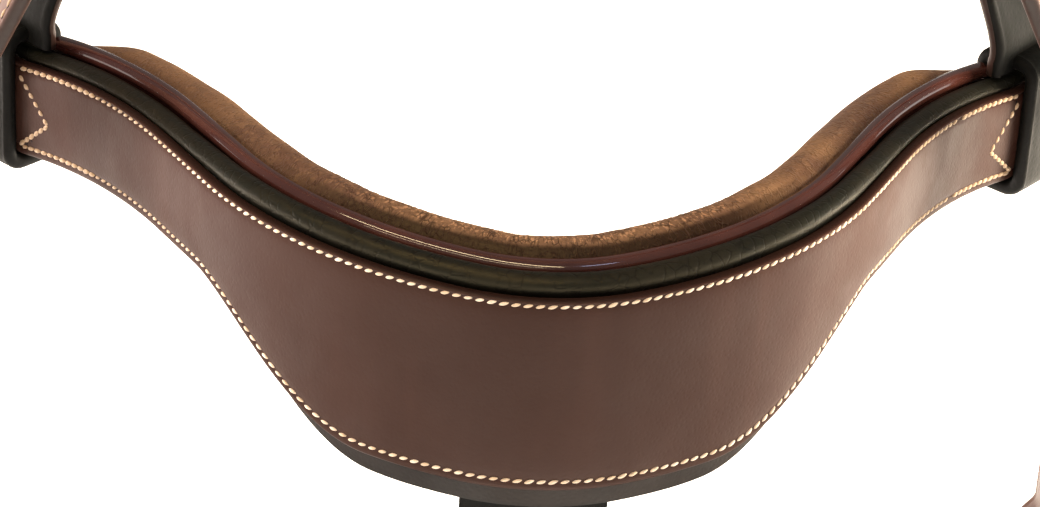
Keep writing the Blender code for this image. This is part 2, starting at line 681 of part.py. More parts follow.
def make_cheekpiece(root, side, sign):
    """One cheekpiece: billet, buckle, strap with its bit loop, and the hook stud that closes the loop."""
    plane = side_frame(sign, CHEEK_LANE)
    outer_face = HEADPIECE_X + STRAP_THICK / 2
    axis = body(f"cheek_{side}_axis", Vector((sign * outer_face, CHEEK_LANE, BEND_LINE_Z)), root)
    strap_x = HEADPIECE_X + BILLET_UNDER
    buckle = Buckle(f"cheek_{side}", plane, (strap_x, CHEEK_BAR_Z), (0, 1), (1, 0))
    billet_path = route([(HEADPIECE_X, BEND_LINE_Z - BEND_GAP, 0)] + buckle.billet_corners())
    billet = add_object(f"cheek_{side}_billet", ribbon(plane, billet_path, tip=True), BROWN, axis)
    buckle.fit_billet(billet)

    layer = STRAP_THICK + GAP
    inside = BIT_LOOP_INSIDE + STRAP_THICK
    corner = BIT_LOOP_CORNER + STRAP_THICK / 2
    loop_top = CHEEK_END_Z + BIT_LOOP_HEIGHT
    path = route([
        (strap_x, CHEEK_BAR_Z, 0), (strap_x, CHEEK_FLARE_TOP_Z, CHEEK_FILLET),
        (CHEEK_LOW_X, CHEEK_FLARE_LOW_Z, CHEEK_FILLET), (CHEEK_LOW_X, CHEEK_END_Z, corner),
        (CHEEK_LOW_X - inside, CHEEK_END_Z, corner), (CHEEK_LOW_X - inside, loop_top, corner),
        (CHEEK_LOW_X - layer, loop_top + BIT_LOOP_HEIGHT, corner),
        (CHEEK_LOW_X - layer, CHEEK_END_Z + TURN_BACK + BIT_LOOP_HEIGHT, 0),
    ])
    strap = add_object(f"cheek_{side}_strap", ribbon(plane, path), BROWN, axis)
    buckle.fit_chape(strap)
    buckle.make_hardware(axis)
    buckle.make_keepers(axis, BROWN)
    make_hook_stud(side, plane, strap, axis)


def make_hook_stud(side, plane, strap, parent):
    """The stud riveted through both layers of the strap above the bit loop, with its hook inside."""
    height = CHEEK_END_Z + STUD_HEIGHT
    turned = plane.to_3x3()
    through = frame_of(plane @ Vector((CHEEK_LOW_X, height, 0)), turned @ Z_AXIS, turned @ Y_AXIS)
    sense = 1 if (through.to_3x3() @ Z_AXIS).dot(turned @ X_AXIS) > 0 else -1
    outer = STRAP_THICK / 2 + GAP
    inner = outer + STRAP_THICK + GAP
    half_head = STUD_HEAD_THICK / 2
    pin_low, pin_high = sorted((-sense * (inner + half_head), sense * (outer + half_head)))
    middle = (pin_low + pin_high) / 2
    bore = rod(through, (0, 0, middle), STUD_PIN_RADIUS + BAR_PLAY, pin_high - pin_low + CUT_OVERRUN)
    apply_tool(strap, add_tool(f"hook_stud_bore_{side}", bore), "DIFFERENCE")
    pin = rod(through, (0, 0, middle), STUD_PIN_RADIUS, pin_high - pin_low)
    stud = add_object(f"cheek_{side}_hook_stud", pin, NICKEL, parent)
    head = rod(through, (0, 0, sense * (outer + half_head)), STUD_HEAD_RADIUS, STUD_HEAD_THICK)
    low, high = sorted((-sense * inner, -sense * (inner + STUD_HEAD_THICK)))
    half = STUD_HOOK_WIDTH / 2
    hook = block(through, (-half, -half, low), (half, STUD_HOOK_HEIGHT - half, high))
    apply_tool(stud, add_tool(f"hook_stud_head_{side}", head), "UNION")
    apply_tool(stud, add_tool(f"hook_stud_plate_{side}", hook), "UNION")


def make_throatlash(root):
    """The throatlash: one long strap from the right side, round the throat, to its buckle on the left."""
    bend = Vector((0, THROAT_LANE, BEND_LINE_Z))
    axis = body("throatlash_axis", bend, root)
    up = Vector((0, -math.sin(THROAT_LEAN), math.cos(THROAT_LEAN)))
    plane = frame_of(bend, X_AXIS, up)
    strap_x = HEADPIECE_X + BILLET_UNDER
    buckle = Buckle("throatlash", plane, (strap_x, -THROAT_BAR), (0, 1), (1, 0))
    billet_path = route([(HEADPIECE_X, 0, 0)] + buckle.billet_corners())
    billet = add_object("throatlash_billet", ribbon(plane, billet_path, tip=True, knuckle=True), BROWN, axis)
    buckle.fit_billet(billet, spare_above=0)
    path = route([
        (-HEADPIECE_X, 0, 0), (-HEADPIECE_X, -THROAT_DROP, THROAT_CORNER),
        (strap_x, -THROAT_DROP, THROAT_CORNER), (strap_x, -THROAT_BAR, 0),
    ])
    strap = add_object("throatlash_strap", ribbon(plane, path, knuckle=True), BROWN, axis)
    buckle.fit_chape(strap)
    buckle.make_hardware(axis)
    buckle.make_keepers(axis, BROWN)


def twisted_strap(stations, width=STRAP_WIDTH, thick=STRAP_THICK, knuckle=False):
    """A strap through stations of (point, heading, face normal), whose face turns on the way."""
    shares = [1] * len(stations)
    if knuckle:
        point, heading, facing = stations[0]
        turns = [math.radians(angle) for angle in KNUCKLE_ANGLES]
        back = heading.normalized() * width / 2
        stations = [(point - back * math.cos(turn), heading, facing) for turn in turns] + stations
        shares = [math.sin(turn) for turn in turns] + shares
    section = box_section(thick, width)
    rings = []
    for (point, heading, facing), share in zip(stations, shares):
        tangent = heading.normalized()
        across = tangent.cross(facing).normalized()
        normal = across.cross(tangent).normalized()
        rings.append([point + normal * out + across * side * share for out, side in section])
    return loft(rings)


def loop_frame(sign):
    """The frame of an end loop: local X inwards through the nosepiece, local Y up, local Z along it."""
    place, heading = nose_plan(sign * LOOP_PLACE)
    inward = Vector((-math.sin(heading), math.cos(heading), 0))
    height = NOSE_TOP_Z - NOSE_END_DROP
    return frame_of(Vector((*place, height)), inward, Z_AXIS)


def loop_limits():
    """The middle of the end loop's wall, as (depth, height) corners."""
    grow = GAP + LOOP_THICK / 2
    low = (-grow, -SEAM_GAP_END - BASE_LOW_MARGIN - grow)
    high = (LOOP_INSIDE + grow, WELT_HEIGHT + WELT_RADIUS + grow)
    return low, high


def hanger_stations(sign, top_z, top_x):
    """The way of a hanger strap from a height on the cheek down to the outside of its end loop."""
    frame = loop_frame(sign)
    seat_height = loop_limits()[1][1] + LOOP_THICK / 2 + GAP
    facing = -(frame.to_3x3() @ X_AXIS)
    outward = X_AXIS * sign
    end = frame @ Vector((HANGER_FOOT_DEPTH, seat_height, -sign * HANGER_FOOT_SHIFT))
    knee = Vector((sign * HANGER_LEAN_X, HANGER_LANE, HANGER_LEAN_Z))
    bend = Vector((sign * top_x, HANGER_LANE, HANGER_BEND_Z))
    above = bend + Z_AXIS * (knee - bend).length
    stations = [(Vector((sign * top_x, HANGER_LANE, top_z)), -Z_AXIS, outward), (above, -Z_AXIS, outward)]
    anchors = [above, bend, knee, end + Z_AXIS * HANGER_LANDING, end]
    pulls = [b - a for a, b in zip(anchors, anchors[1:])]
    handles = len(anchors) * 2
    for k in range(1, handles + 1):
        share = k / handles
        turned = outward.lerp(facing, share ** 2).normalized()
        stations.append((bezier(anchors, share), bezier(pulls, share), turned))
    return stations


def bezier(anchors, share):
    """A point of the curve that the anchors pull."""
    points = list(anchors)
    while len(points) > 1:
        points = [a.lerp(b, share) for a, b in zip(points, points[1:])]
    return points[0]


def make_noseband(root):
    """The noseband: hanger straps, nosepiece layers, end loops and chin straps, on one bend line."""
    axis = body("noseband_axis", Vector((0, HANGER_LANE, BEND_LINE_Z)), root)
    nose_loft("nosepiece_panel", NOSE_TAB_END, panel_section, BROWN, axis)
    nose_loft("nosepiece_base_welt", NOSE_TAB_END, base_section, BLACK, axis)
    nose_loft("nosepiece_foam_core", LINING_END, core_section, FOAM, axis)
    nose_loft("nosepiece_piping", LINING_END, piping_section, PATENT, axis)
    nose_loft("nosepiece_lining", LINING_END, lining_section, PADDING, axis)
    low, high = loop_limits()
    for side, sign in SIDES.items():
        around = ring_path(low, high, LOOP_CORNER)
        band = sweep(loop_frame(sign), around, box_section(LOOP_THICK, LOOP_WIDTH), closed=True)
        add_object(f"nosepiece_loop_{side}", band, BLACK, axis)
    make_hangers(axis)
    make_chin(axis)
    make_flash(axis)


def make_hangers(axis):
    """The straps that carry the nosepiece: one piece on the right, a buckled pair on the left."""
    plane = side_frame(1, HANGER_LANE)
    strap_x = HANGER_X + BILLET_UNDER
    buckle = Buckle("hanger", plane, (strap_x, HANGER_BAR_Z), (0, 1), (1, 0))
    billet_path = route([(HANGER_X, BEND_LINE_Z, 0)] + buckle.billet_corners())
    billet = add_object("hanger_billet", ribbon(plane, billet_path, tip=True, knuckle=True), BLACK, axis)
    buckle.fit_billet(billet)
    left = twisted_strap(hanger_stations(1, HANGER_BAR_Z, strap_x))
    left = add_object("hanger_strap_left", left, BLACK, axis)
    buckle.fit_chape(left)
    buckle.make_hardware(axis)
    buckle.make_keepers(axis, BLACK)
    right = twisted_strap(hanger_stations(-1, BEND_LINE_Z, HANGER_X), knuckle=True)
    add_object("hanger_strap_right", right, BLACK, axis)


def make_chin(axis):
    """The two chin straps, joined by a buckle behind the jaw, and the pad that slides on them."""
    height = NOSE_TOP_Z - NOSE_END_DROP - SEAM_GAP_END / 2
    level = frame_of(Z_AXIS * height, X_AXIS, Y_AXIS)
    depth = PANEL_THICK + BASE_THICK + 2 * GAP + STRAP_THICK / 2
    start = nose_point(NOSE_END + GAP, depth, 0)
    tab = nose_point(NOSE_TAB_END, depth, 0)
    buckle = Buckle("chin", level, (CHIN_BAR_X, CHIN_BACK_Y + BILLET_UNDER), (-1, 0), (0, 1))
    strap_y = buckle.bar.y
    left_path = route([
        (start.x, start.y, 0), (tab.x, tab.y, 0), (CHIN_SIDE_X, CHIN_SIDE_Y, CHIN_CORNER / 2),
        (CHIN_SIDE_X, strap_y, CHIN_CORNER), (CHIN_BAR_X, strap_y, 0),
    ])
    left = add_object("chin_strap_left", ribbon(level, left_path), BLACK, axis)
    buckle.fit_chape(left)
    buckle.make_hardware(axis)
    buckle.make_keepers(axis, BLACK)
    right_path = route([
        (-start.x, start.y, 0), (-tab.x, tab.y, 0), (-CHIN_SIDE_X, CHIN_SIDE_Y, CHIN_CORNER / 2),
        (-CHIN_SIDE_X, CHIN_BACK_Y, CHIN_CORNER),
    ] + buckle.billet_corners())
    right = add_object("chin_strap_right", ribbon(level, right_path, tip=True), BLACK, axis)
    buckle.fit_billet(right)
    make_chin_pad(axis, level)


def make_chin_pad(axis, level):
    """The chin pad, with a loop round the strap that it slides on."""
    outer = CHIN_BACK_Y - STRAP_THICK / 2 - GAP
    slide = body("chin_pad_axis", level @ Vector((0, outer, 0)), axis)
    rings = []
    for share in CHIN_PAD_SHARES:
        plump = math.sqrt(1 - (share * CHIN_PAD_ROUND_SHARE) ** 2)
        thick_share = CHIN_PAD_END_THICK_SHARE + (1 - CHIN_PAD_END_THICK_SHARE) * plump
        height_share = CHIN_PAD_END_HEIGHT_SHARE + (1 - CHIN_PAD_END_HEIGHT_SHARE) * plump
        inner = outer - CHIN_PAD_THICK * thick_share
        half = CHIN_PAD_HEIGHT / 2 * height_share
        x = share * CHIN_PAD_LENGTH / 2
        section = [
            (outer, CHIN_PAD_CROWN - half), (outer, half - CHIN_PAD_CROWN),
            (outer - CHIN_PAD_CROWN / 2, half), (inner + CHIN_PAD_CROWN, half - EDGE),
            (inner, half / 2), (inner, -half / 2),
            (inner + CHIN_PAD_CROWN, EDGE - half), (outer - CHIN_PAD_CROWN / 2, -half),
        ]
        rings.append([level @ Vector((x, y, z)) for y, z in section])
    pad = add_object("chin_pad", loft(rings), PADDING, slide)
    grow = GAP * 2 + KEEPER_THICK / 2
    across = frame_of(level @ Vector((-CHIN_LOOP_PLACE, 0, 0)), Y_AXIS, Z_AXIS)
    around = ring_path((outer - KEEPER_THICK, -STRAP_WIDTH / 2 - grow),
                       (CHIN_BACK_Y + STRAP_THICK / 2 + grow, STRAP_WIDTH / 2 + grow), KEEPER_CORNER)
    band = sweep(across, around, box_section(KEEPER_THICK, KEEPER_LENGTH * 2, EDGE / 2), closed=True)
    apply_tool(pad, add_tool("chin_pad_loop", band), "UNION")


def make_flash(axis):
    """The flash: a loop sewn behind the nosepiece's lower edge, and the strap that it carries."""
    low = -SEAM_GAP_MIDDLE - LINING_LOW_MARGIN
    hinge = nose_point(0, FLASH_DEPTH, low - EDGE - GAP)
    flash = body("flash_axis", hinge, axis)
    back = Vector((0, math.cos(FLASH_LEAN), -math.sin(FLASH_LEAN)))
    plane = frame_of(hinge - Z_AXIS * FLASH_DROP - Y_AXIS * FLASH_SHIFT, X_AXIS, back)
    grow = GAP + FLASH_LOOP_THICK / 2
    across = frame_of(plane.translation, back, plane.to_3x3() @ Z_AXIS)
    half = STRAP_WIDTH / 2 + grow
    around = ring_path((-STRAP_THICK / 2 - grow, -half), (STRAP_THICK / 2 + grow, half), KEEPER_CORNER)
    band = sweep(across, around, box_section(FLASH_LOOP_THICK, FLASH_LOOP_LENGTH, EDGE / 2), closed=True)
    loop = add_object("flash_loop", band, BLACK, flash)
    reach = Vector((FLASH_LOOP_LENGTH, FLASH_LOOP_THICK, 0)) / 2
    tab = block(Matrix.Translation(hinge), -reach - Z_AXIS * FLASH_TAB_LENGTH, reach - Z_AXIS * BEND_GAP)
    apply_tool(loop, add_tool("flash_loop_tab", tab), "UNION")
    strap_x = FLASH_HALF_WIDTH + BILLET_UNDER
    buckle = Buckle("flash", plane, (strap_x, FLASH_BAR), (0, -1), (1, 0))
    billet_path = route([
        (0, 0, 0), (FLASH_HALF_WIDTH, 0, FLASH_CORNER / 2),
    ] + buckle.billet_corners())
    strap_path = route([
        (0, 0, 0), (-FLASH_HALF_WIDTH, 0, FLASH_CORNER / 2),
        (-FLASH_HALF_WIDTH, FLASH_LONG, FLASH_CORNER), (strap_x, FLASH_LONG, FLASH_CORNER),
        (strap_x, FLASH_BAR, 0),
    ])
    whole = billet_path[::-1] + strap_path[1:]
    strap = add_object("flash_strap", ribbon(plane, whole), BLACK, flash)
    buckle.fit_chape(strap)
    buckle.fit_billet(strap, spare_above=0)
    buckle.make_hardware(flash)
    buckle.make_keepers(flash, BLACK)


def main():
    """Builds the bridle, group by group."""
    clear_scene()
    root = body("bridle", WORLD_ORIGIN)
    make_headpiece(root)
    make_browband(root)
    for side, sign in SIDES.items():
        make_cheekpiece(root, side, sign)
    make_throatlash(root)
    make_noseband(root)


main()
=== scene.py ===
"""Flash noseband bridle, dressed: smooth leather, padding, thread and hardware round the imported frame.

Metres, +Z up. The nose points to -Y and the horse's left side is at +X, as in the frame.

Every strap is made flat first. Flat X runs along it, flat Y across it and flat Z out of its face. A way then
bends it into its worn shape, so that grain, creases and stitches follow the leather.
"""

import logging
import math
from bisect import bisect_right
from collections.abc import Callable, Sequence
from dataclasses import dataclass
from enum import Enum
from functools import cache

import bmesh
import bpy
from bmesh.types import BMesh, BMVert
from mathutils import Matrix, Vector, noise
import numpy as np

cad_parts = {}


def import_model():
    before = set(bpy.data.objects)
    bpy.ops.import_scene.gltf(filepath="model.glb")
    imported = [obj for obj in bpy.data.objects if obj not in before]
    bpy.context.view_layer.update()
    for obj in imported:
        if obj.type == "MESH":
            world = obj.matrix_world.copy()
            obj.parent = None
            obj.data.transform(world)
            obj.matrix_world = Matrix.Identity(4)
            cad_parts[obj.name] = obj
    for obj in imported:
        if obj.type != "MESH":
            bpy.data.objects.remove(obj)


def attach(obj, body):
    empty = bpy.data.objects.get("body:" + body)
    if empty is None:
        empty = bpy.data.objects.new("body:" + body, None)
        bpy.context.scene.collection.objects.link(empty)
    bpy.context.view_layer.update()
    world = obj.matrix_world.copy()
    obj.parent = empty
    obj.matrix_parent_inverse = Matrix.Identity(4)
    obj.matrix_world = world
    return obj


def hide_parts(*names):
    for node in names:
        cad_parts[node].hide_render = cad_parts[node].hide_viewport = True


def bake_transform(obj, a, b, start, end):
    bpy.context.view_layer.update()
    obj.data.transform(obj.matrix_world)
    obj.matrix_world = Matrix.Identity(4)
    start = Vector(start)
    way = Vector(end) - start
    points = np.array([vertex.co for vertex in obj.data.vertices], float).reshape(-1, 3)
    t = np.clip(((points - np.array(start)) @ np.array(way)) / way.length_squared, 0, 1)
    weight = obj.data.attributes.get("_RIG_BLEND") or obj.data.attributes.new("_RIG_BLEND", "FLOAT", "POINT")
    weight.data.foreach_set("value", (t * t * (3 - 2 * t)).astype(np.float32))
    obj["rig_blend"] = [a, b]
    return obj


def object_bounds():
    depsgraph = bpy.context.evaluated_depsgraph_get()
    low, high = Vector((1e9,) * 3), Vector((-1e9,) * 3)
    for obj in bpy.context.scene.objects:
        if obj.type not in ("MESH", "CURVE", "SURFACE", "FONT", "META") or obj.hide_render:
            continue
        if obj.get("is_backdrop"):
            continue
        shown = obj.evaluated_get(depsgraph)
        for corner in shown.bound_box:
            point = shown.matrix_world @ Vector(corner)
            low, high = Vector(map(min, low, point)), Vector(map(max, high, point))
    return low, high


LOG = logging.getLogger("bridle")

Colour = tuple[float, float, float]
Corner = tuple[float, float, float]
Point = tuple[float, float]
Place = Callable[[Vector], Vector]
Socket = bpy.types.NodeSocket

X_AXIS = Vector((1, 0, 0))
Y_AXIS = Vector((0, 1, 0))
Z_AXIS = Vector((0, 0, 1))

# Sizes that the frame has too
GAP = 0.0003
STRAP_WIDTH = 0.016
STRAP_THICK = 0.003
EDGE = 0.0006
KEEPER_THICK = 0.0018
KEEPER_LENGTH = 0.008
KEEPER_CORNER = 0.0012
TAIL = 0.060
BAR_RADIUS = 0.0015
TONGUE_RADIUS = 0.0009
FRAME_LENGTH = 0.016
EYE_RADIUS = BAR_RADIUS + 0.00025 + TONGUE_RADIUS
BILLET_UNDER = BAR_RADIUS + GAP + STRAP_THICK / 2
BILLET_OVER = EYE_RADIUS + TONGUE_RADIUS + GAP + STRAP_THICK / 2
BILLET_SEATED = STRAP_THICK + GAP
POLL_HALF_WIDTH = 0.065
POLL_CORNER = 0.040
PAD_THICK = 0.007
CHEEK_LANE = -0.018
HANGER_LANE = 0.004
THROAT_LANE = 0.016
HANGER_X = POLL_HALF_WIDTH + PAD_THICK + GAP + STRAP_THICK / 2
HEADPIECE_X = HANGER_X + STRAP_THICK + GAP
BEND_Z = -0.084
JOIN_Z = -0.060
BEND_REACH = 0.010

ARC_STEP = math.radians(6)
TINY_TURN = math.radians(0.5)
FINE_STEP = 0.0015
CRISP_ANGLE = math.radians(42)
SAME_PLACE = 1e-6
WELD = 1e-5
CREASE_HALF = 0.0005
PUNCH_SIDES = 22
PUNCH_REACH = 0.01
FLOOR_GAP = 0.0005


class Side(Enum):
    """The horse's left and right, as the sign of X."""

    LEFT = 1
    RIGHT = -1

    @property
    def word(self) -> str:
        """The word in the names of nodes and bodies."""
        return self.name.lower()


class Slot(Enum):
    """The record's material slots."""

    BROWN = "brown_leather"
    BLACK = "black_leather"
    PATENT = "patent_leather"
    PADDING = "padded_lining"
    NICKEL = "nickel"


def frame_of(origin: Vector, across: Vector, along: Vector) -> Matrix:
    """A frame whose local X is across, local Y is along and local Z is their cross product.

    Args:
        origin: The frame's origin.
        across: The direction of local X.
        along: The direction of local Y, square to local X.

    Returns:
        The frame as a matrix.
    """
    across, along = across.normalized(), along.normalized()
    rotation = Matrix((across, along, across.cross(along))).transposed()
    return Matrix.Translation(origin) @ rotation.to_4x4()


def side_frame(sign: int, lane: float) -> Matrix:
    """The upright plane of one side's straps: local X points outwards and local Y up."""
    return frame_of(Y_AXIS * lane, X_AXIS * sign, Z_AXIS)


def rounded(corners: Sequence[Corner]) -> list[tuple[Vector, Vector]]:
    """A flat path with its corners rounded by arcs.

    Args:
        corners: Each corner as (x, y, radius).

    Returns:
        Places on the path, each with the heading there.
    """
    spots = [Vector(corner[:2]) for corner in corners]
    stops = [(spots[0], (spots[1] - spots[0]).normalized())]
    for before, corner, after in zip(spots, corners[1:], spots[2:]):
        here, radius = Vector(corner[:2]), corner[2]
        entering, leaving = (here - before).normalized(), (after - here).normalized()
        turn = math.copysign(entering.angle(leaving), entering.cross(leaving))
        if radius == 0 or abs(turn) < TINY_TURN:
            stops.append((here, (entering + leaving).normalized()))
            continue
        start = here - entering * radius * math.tan(abs(turn) / 2)
        centre = start + math.copysign(radius, turn) * Vector((-entering.y, entering.x))
        steps = max(2, math.ceil(abs(turn) / ARC_STEP))
        for step in range(steps + 1):
            turned = Matrix.Rotation(turn * step / steps, 2)
            stops.append((centre + turned @ (start - centre), turned @ entering))
    stops.append((spots[-1], (spots[-1] - spots[-2]).normalized()))
    return stops


@dataclass(frozen=True)
class Station:
    """One place on a way: a point, the outward direction of the leather's face and the direction across."""

    point: Vector
    out: Vector
    across: Vector


class Way:
    """The bent route that flat leather is laid along."""

    def __init__(self, stations: Sequence[Station]) -> None:
        """Keeps the stations that are apart, with their distances along the way.

        Args:
            stations: The stations in order.
        """
        self.stations = [stations[0]]
        self.marks = [0.0]
        for station in stations[1:]:
            step = (station.point - self.stations[-1].point).length
            if step > SAME_PLACE:
                self.stations.append(station)
                self.marks.append(self.marks[-1] + step)

    @property
    def length(self) -> float:
        """The way's whole length."""
        return self.marks[-1]

    def place(self, flat: Vector) -> Vector:
        """Bends one point of the flat leather.

        Args:
            flat: The flat place: X along, Y across and Z out of the face.

        Returns:
            The bent place.
        """
        k = min(max(bisect_right(self.marks, flat.x) - 1, 0), len(self.stations) - 2)
        a, b = self.stations[k], self.stations[k + 1]
        share = (flat.x - self.marks[k]) / (self.marks[k + 1] - self.marks[k])
        held = min(max(share, 0), 1)
        out = (a.out * (1 - held) + b.out * held).normalized()
        across = (a.across * (1 - held) + b.across * held).normalized()
        return a.point + (b.point - a.point) * share + out * flat.z + across * flat.y

    def along_of(self, point: Vector) -> float:
        """Finds where the way passes nearest to a point.

        Args:
            point: The point.

        Returns:
            The distance along the way.
        """
        found = []
        for k, (a, b) in enumerate(zip(self.stations, self.stations[1:])):
            run = b.point - a.point
            share = min(max((point - a.point).dot(run) / run.length_squared, 0), 1)
            near = a.point + run * share
            found.append(((point - near).length, self.marks[k] + run.length * share))
        return min(found)[1]


def flat_stations(plane: Matrix, corners: Sequence[Corner], outside: int = 1) -> list[Station]:
    """The stations of a path that stays in one plane.

    Args:
        plane: The plane's frame. The path lies in its local XY.
        corners: The path's corners as (x, y, radius).
        outside: 1 if the leather's face is on the left of the path, and -1 if it is on the right.

    Returns:
        The stations along the path.
    """
    turned = plane.to_3x3()
    stations = []
    for spot, heading in rounded(corners):
        out = turned @ Vector((-heading.y, heading.x, 0)) * outside
        stations.append(Station(plane @ Vector((*spot, 0)), out, turned @ Z_AXIS))
    return stations


def flat_way(plane: Matrix, corners: Sequence[Corner], outside: int = 1) -> Way:
    """A way that stays in one plane. The arguments are those of flat_stations."""
    return Way(flat_stations(plane, corners, outside))


def ring_way(plane: Matrix, low: Point, high: Point, corner: float) -> Way:
    """A closed way round a rounded rectangle, with its face outwards.

    Args:
        plane: The frame of the rectangle, in its local XY.
        low: The rectangle's lowest corner.
        high: The rectangle's highest corner.
        corner: The radius of its corners.

    Returns:
        The way, which ends where it starts.
    """
    middle = (low[0] + high[0]) / 2
    return flat_way(plane, [
        (middle, low[1], 0), (low[0], low[1], corner), (low[0], high[1], corner),
        (high[0], high[1], corner), (high[0], low[1], corner), (middle, low[1], 0),
    ], 1)


def smooth(share: float) -> float:
    """A share from 0 to 1 that starts and ends gently."""
    share = min(max(share, 0), 1)
    return share * share * (3 - 2 * share)


def ramp(value: float, stops: Sequence[Point]) -> float:
    """A value read off a line through stops, smooth between them.

    Args:
        value: Where the line is read.
        stops: The stops as (place, value), in order.

    Returns:
        The value there, or the end's value beyond an end.
    """
    if value <= stops[0][0]:
        return stops[0][1]
    for (x0, y0), (x1, y1) in zip(stops, stops[1:]):
        if value <= x1:
            return y0 + (y1 - y0) * smooth((value - x0) / (x1 - x0))
    return stops[-1][1]


# Flat leather, as bmesh


def extruded(section: Sequence[Point], length: float, step: float = FINE_STEP) -> BMesh:
    """A section drawn out along flat X and cut across at even steps.

    Args:
        section: The outline as (across, out). Its first point is where the pattern's seam hides.
        length: How far the section is drawn.
        step: The distance between the cuts.

    Returns:
        A closed mesh, with each vertex's distance round the section in the layer "around".
    """
    bm = bmesh.new()
    around = bm.verts.layers.float.new("around")
    bm.verts.layers.float.new("edge")
    verts, travelled, last = [], 0.0, Vector(section[0])
    for point in section:
        vert = bm.verts.new((0, *point))
        travelled += (Vector(point) - last).length
        last = Vector(point)
        vert[around] = travelled
        verts.append(vert)
    face = bm.faces.new(verts)
    made = bmesh.ops.extrude_face_region(bm, geom=[face])["geom"]
    far = [item for item in made if isinstance(item, BMVert)]
    bmesh.ops.translate(bm, verts=far, vec=(length, 0, 0))
    long_edges = [e for e in bm.edges if abs(e.verts[0].co.x - e.verts[1].co.x) > length / 2]
    cuts = max(1, round(length / step) - 1)
    bmesh.ops.subdivide_edges(bm, edges=long_edges, cuts=cuts, use_grid_fill=True)
    return bm


def strap_section(width: float, thick: float, crease: float = 0.0019, groove: float = 0.00016) -> list[Point]:
    """A strap's section: rounded, burnished edges and a creased line near each of them.

    Args:
        width: The strap's width.
        thick: Its thickness.
        crease: The distance of the creased lines from the edges.
        groove: Their depth.

    Returns:
        The outline as (across, out), from the middle of the inner face.
    """
    half, top = width / 2, thick / 2
    radius = thick * 0.4
    turns = [math.radians(angle) for angle in (0, 30, 60, 90)]
    low = [(half - radius + radius * math.sin(a), radius - top - radius * math.cos(a)) for a in turns]
    side = low + [(y, -z) for y, z in reversed(low)]
    line = half - crease
    side += [(line + CREASE_HALF, top), (line, top - groove), (line - CREASE_HALF, top)]
    side += [(half * 0.45, top + groove / 2)]
    return [(0.0, -top)] + side + [(0.0, top + groove)] + [(-y, z) for y, z in reversed(side)]


def round_section(radius: float, sides: int = 12) -> list[Point]:
    """A wire's section."""
    turns = [math.tau * k / sides for k in range(sides)]
    return [(radius * math.cos(t), radius * math.sin(t)) for t in turns]


def pad_section(width: float, thick: float, fullness: float = 3.2, sides: int = 36) -> list[Point]:
    """A stuffed pad's section: full faces that draw in to a seam at each edge.

    Args:
        width: The pad's width.
        thick: Its thickness.
        fullness: The power of the curve. 2 is an ellipse, and more is squarer.
        sides: How many points the outline has.

    Returns:
        The outline as (across, out), from one edge.
    """
    points = []
    for k in range(sides):
        turn = math.tau * k / sides
        y, z = math.cos(turn), math.sin(turn)
        points.append((
            width / 2 * math.copysign(abs(y) ** (2 / fullness), y),
            thick / 2 * math.copysign(abs(z) ** (2 / fullness), z),
        ))
    return points


def stamp(bm: BMesh, edge_of: Callable[[Vector], float], rolled: bool = False) -> None:
    """Keeps each point's flat place for the materials, before the leather is bent.

    Args:
        bm: The flat leather.
        edge_of: Gives the distance of a flat place from the leather's nearest edge or seam.
        rolled: True for a roll, whose pattern runs round its section. Else it runs across the strap.
    """
    flat = bm.loops.layers.uv.new("Flat")
    edge = bm.verts.layers.float.get("edge") or bm.verts.layers.float.new("edge")
    for vert in bm.verts:
        vert[edge] = edge_of(vert.co)
    around = bm.verts.layers.float.get("around")
    span = max(vert[around] for vert in bm.verts) if rolled else 0.0
    for face in bm.faces:
        values = [loop.vert[around] if rolled else loop.vert.co.y for loop in face.loops]
        wraps = rolled and max(values) - min(values) > span / 2
        for loop, value in zip(face.loops, values):
            lifted = value + span if wraps and value < span / 2 else value
            loop[flat].uv = (loop.vert.co.x, lifted)


def bend(bm: BMesh, place: Place) -> None:
    """Moves the flat leather to its bent place."""
    for vert in bm.verts:
        vert.co = place(vert.co)


def ruffle(bm: BMesh, amount: Callable[[Vector, float], float]) -> None:
    """Moves each point of a flat piece in or out along its normal.

    Args:
        bm: The flat piece, with its layer "around".
        amount: Gives the move from the flat place and the distance round the section.
    """
    bmesh.ops.recalc_face_normals(bm, faces=bm.faces)
    bm.normal_update()
    around = bm.verts.layers.float["around"]
    moves = [(vert, vert.normal * amount(vert.co, vert[around])) for vert in bm.verts]
    for vert, move in moves:
        vert.co += move


def close_ring(bm: BMesh) -> None:
    """Joins the two ends of a bent band into one ring."""
    bmesh.ops.delete(bm, geom=[face for face in bm.faces if len(face.verts) > 4], context="FACES")
    bmesh.ops.remove_doubles(bm, verts=bm.verts, dist=WELD)


def face_outwards(bm: BMesh) -> None:
    """Turns the faces of each closed shell outwards, also where the shell is bent back on itself.

    Args:
        bm: The piece, made of closed shells.
    """
    bmesh.ops.recalc_face_normals(bm, faces=bm.faces)
    for face in bm.faces:
        face.tag = False
    for first in bm.faces:
        if first.tag:
            continue
        first.tag = True
        shell, volume, origin = [first], 0.0, first.verts[0].co.copy()
        for face in shell:
            volume += (face.calc_center_median() - origin).dot(face.normal) * face.calc_area()
            fresh = {near for edge in face.edges for near in edge.link_faces if not near.tag}
            for near in fresh:
                near.tag = True
            shell.extend(fresh)
        if volume < 0:
            bmesh.ops.reverse_faces(bm, faces=shell)


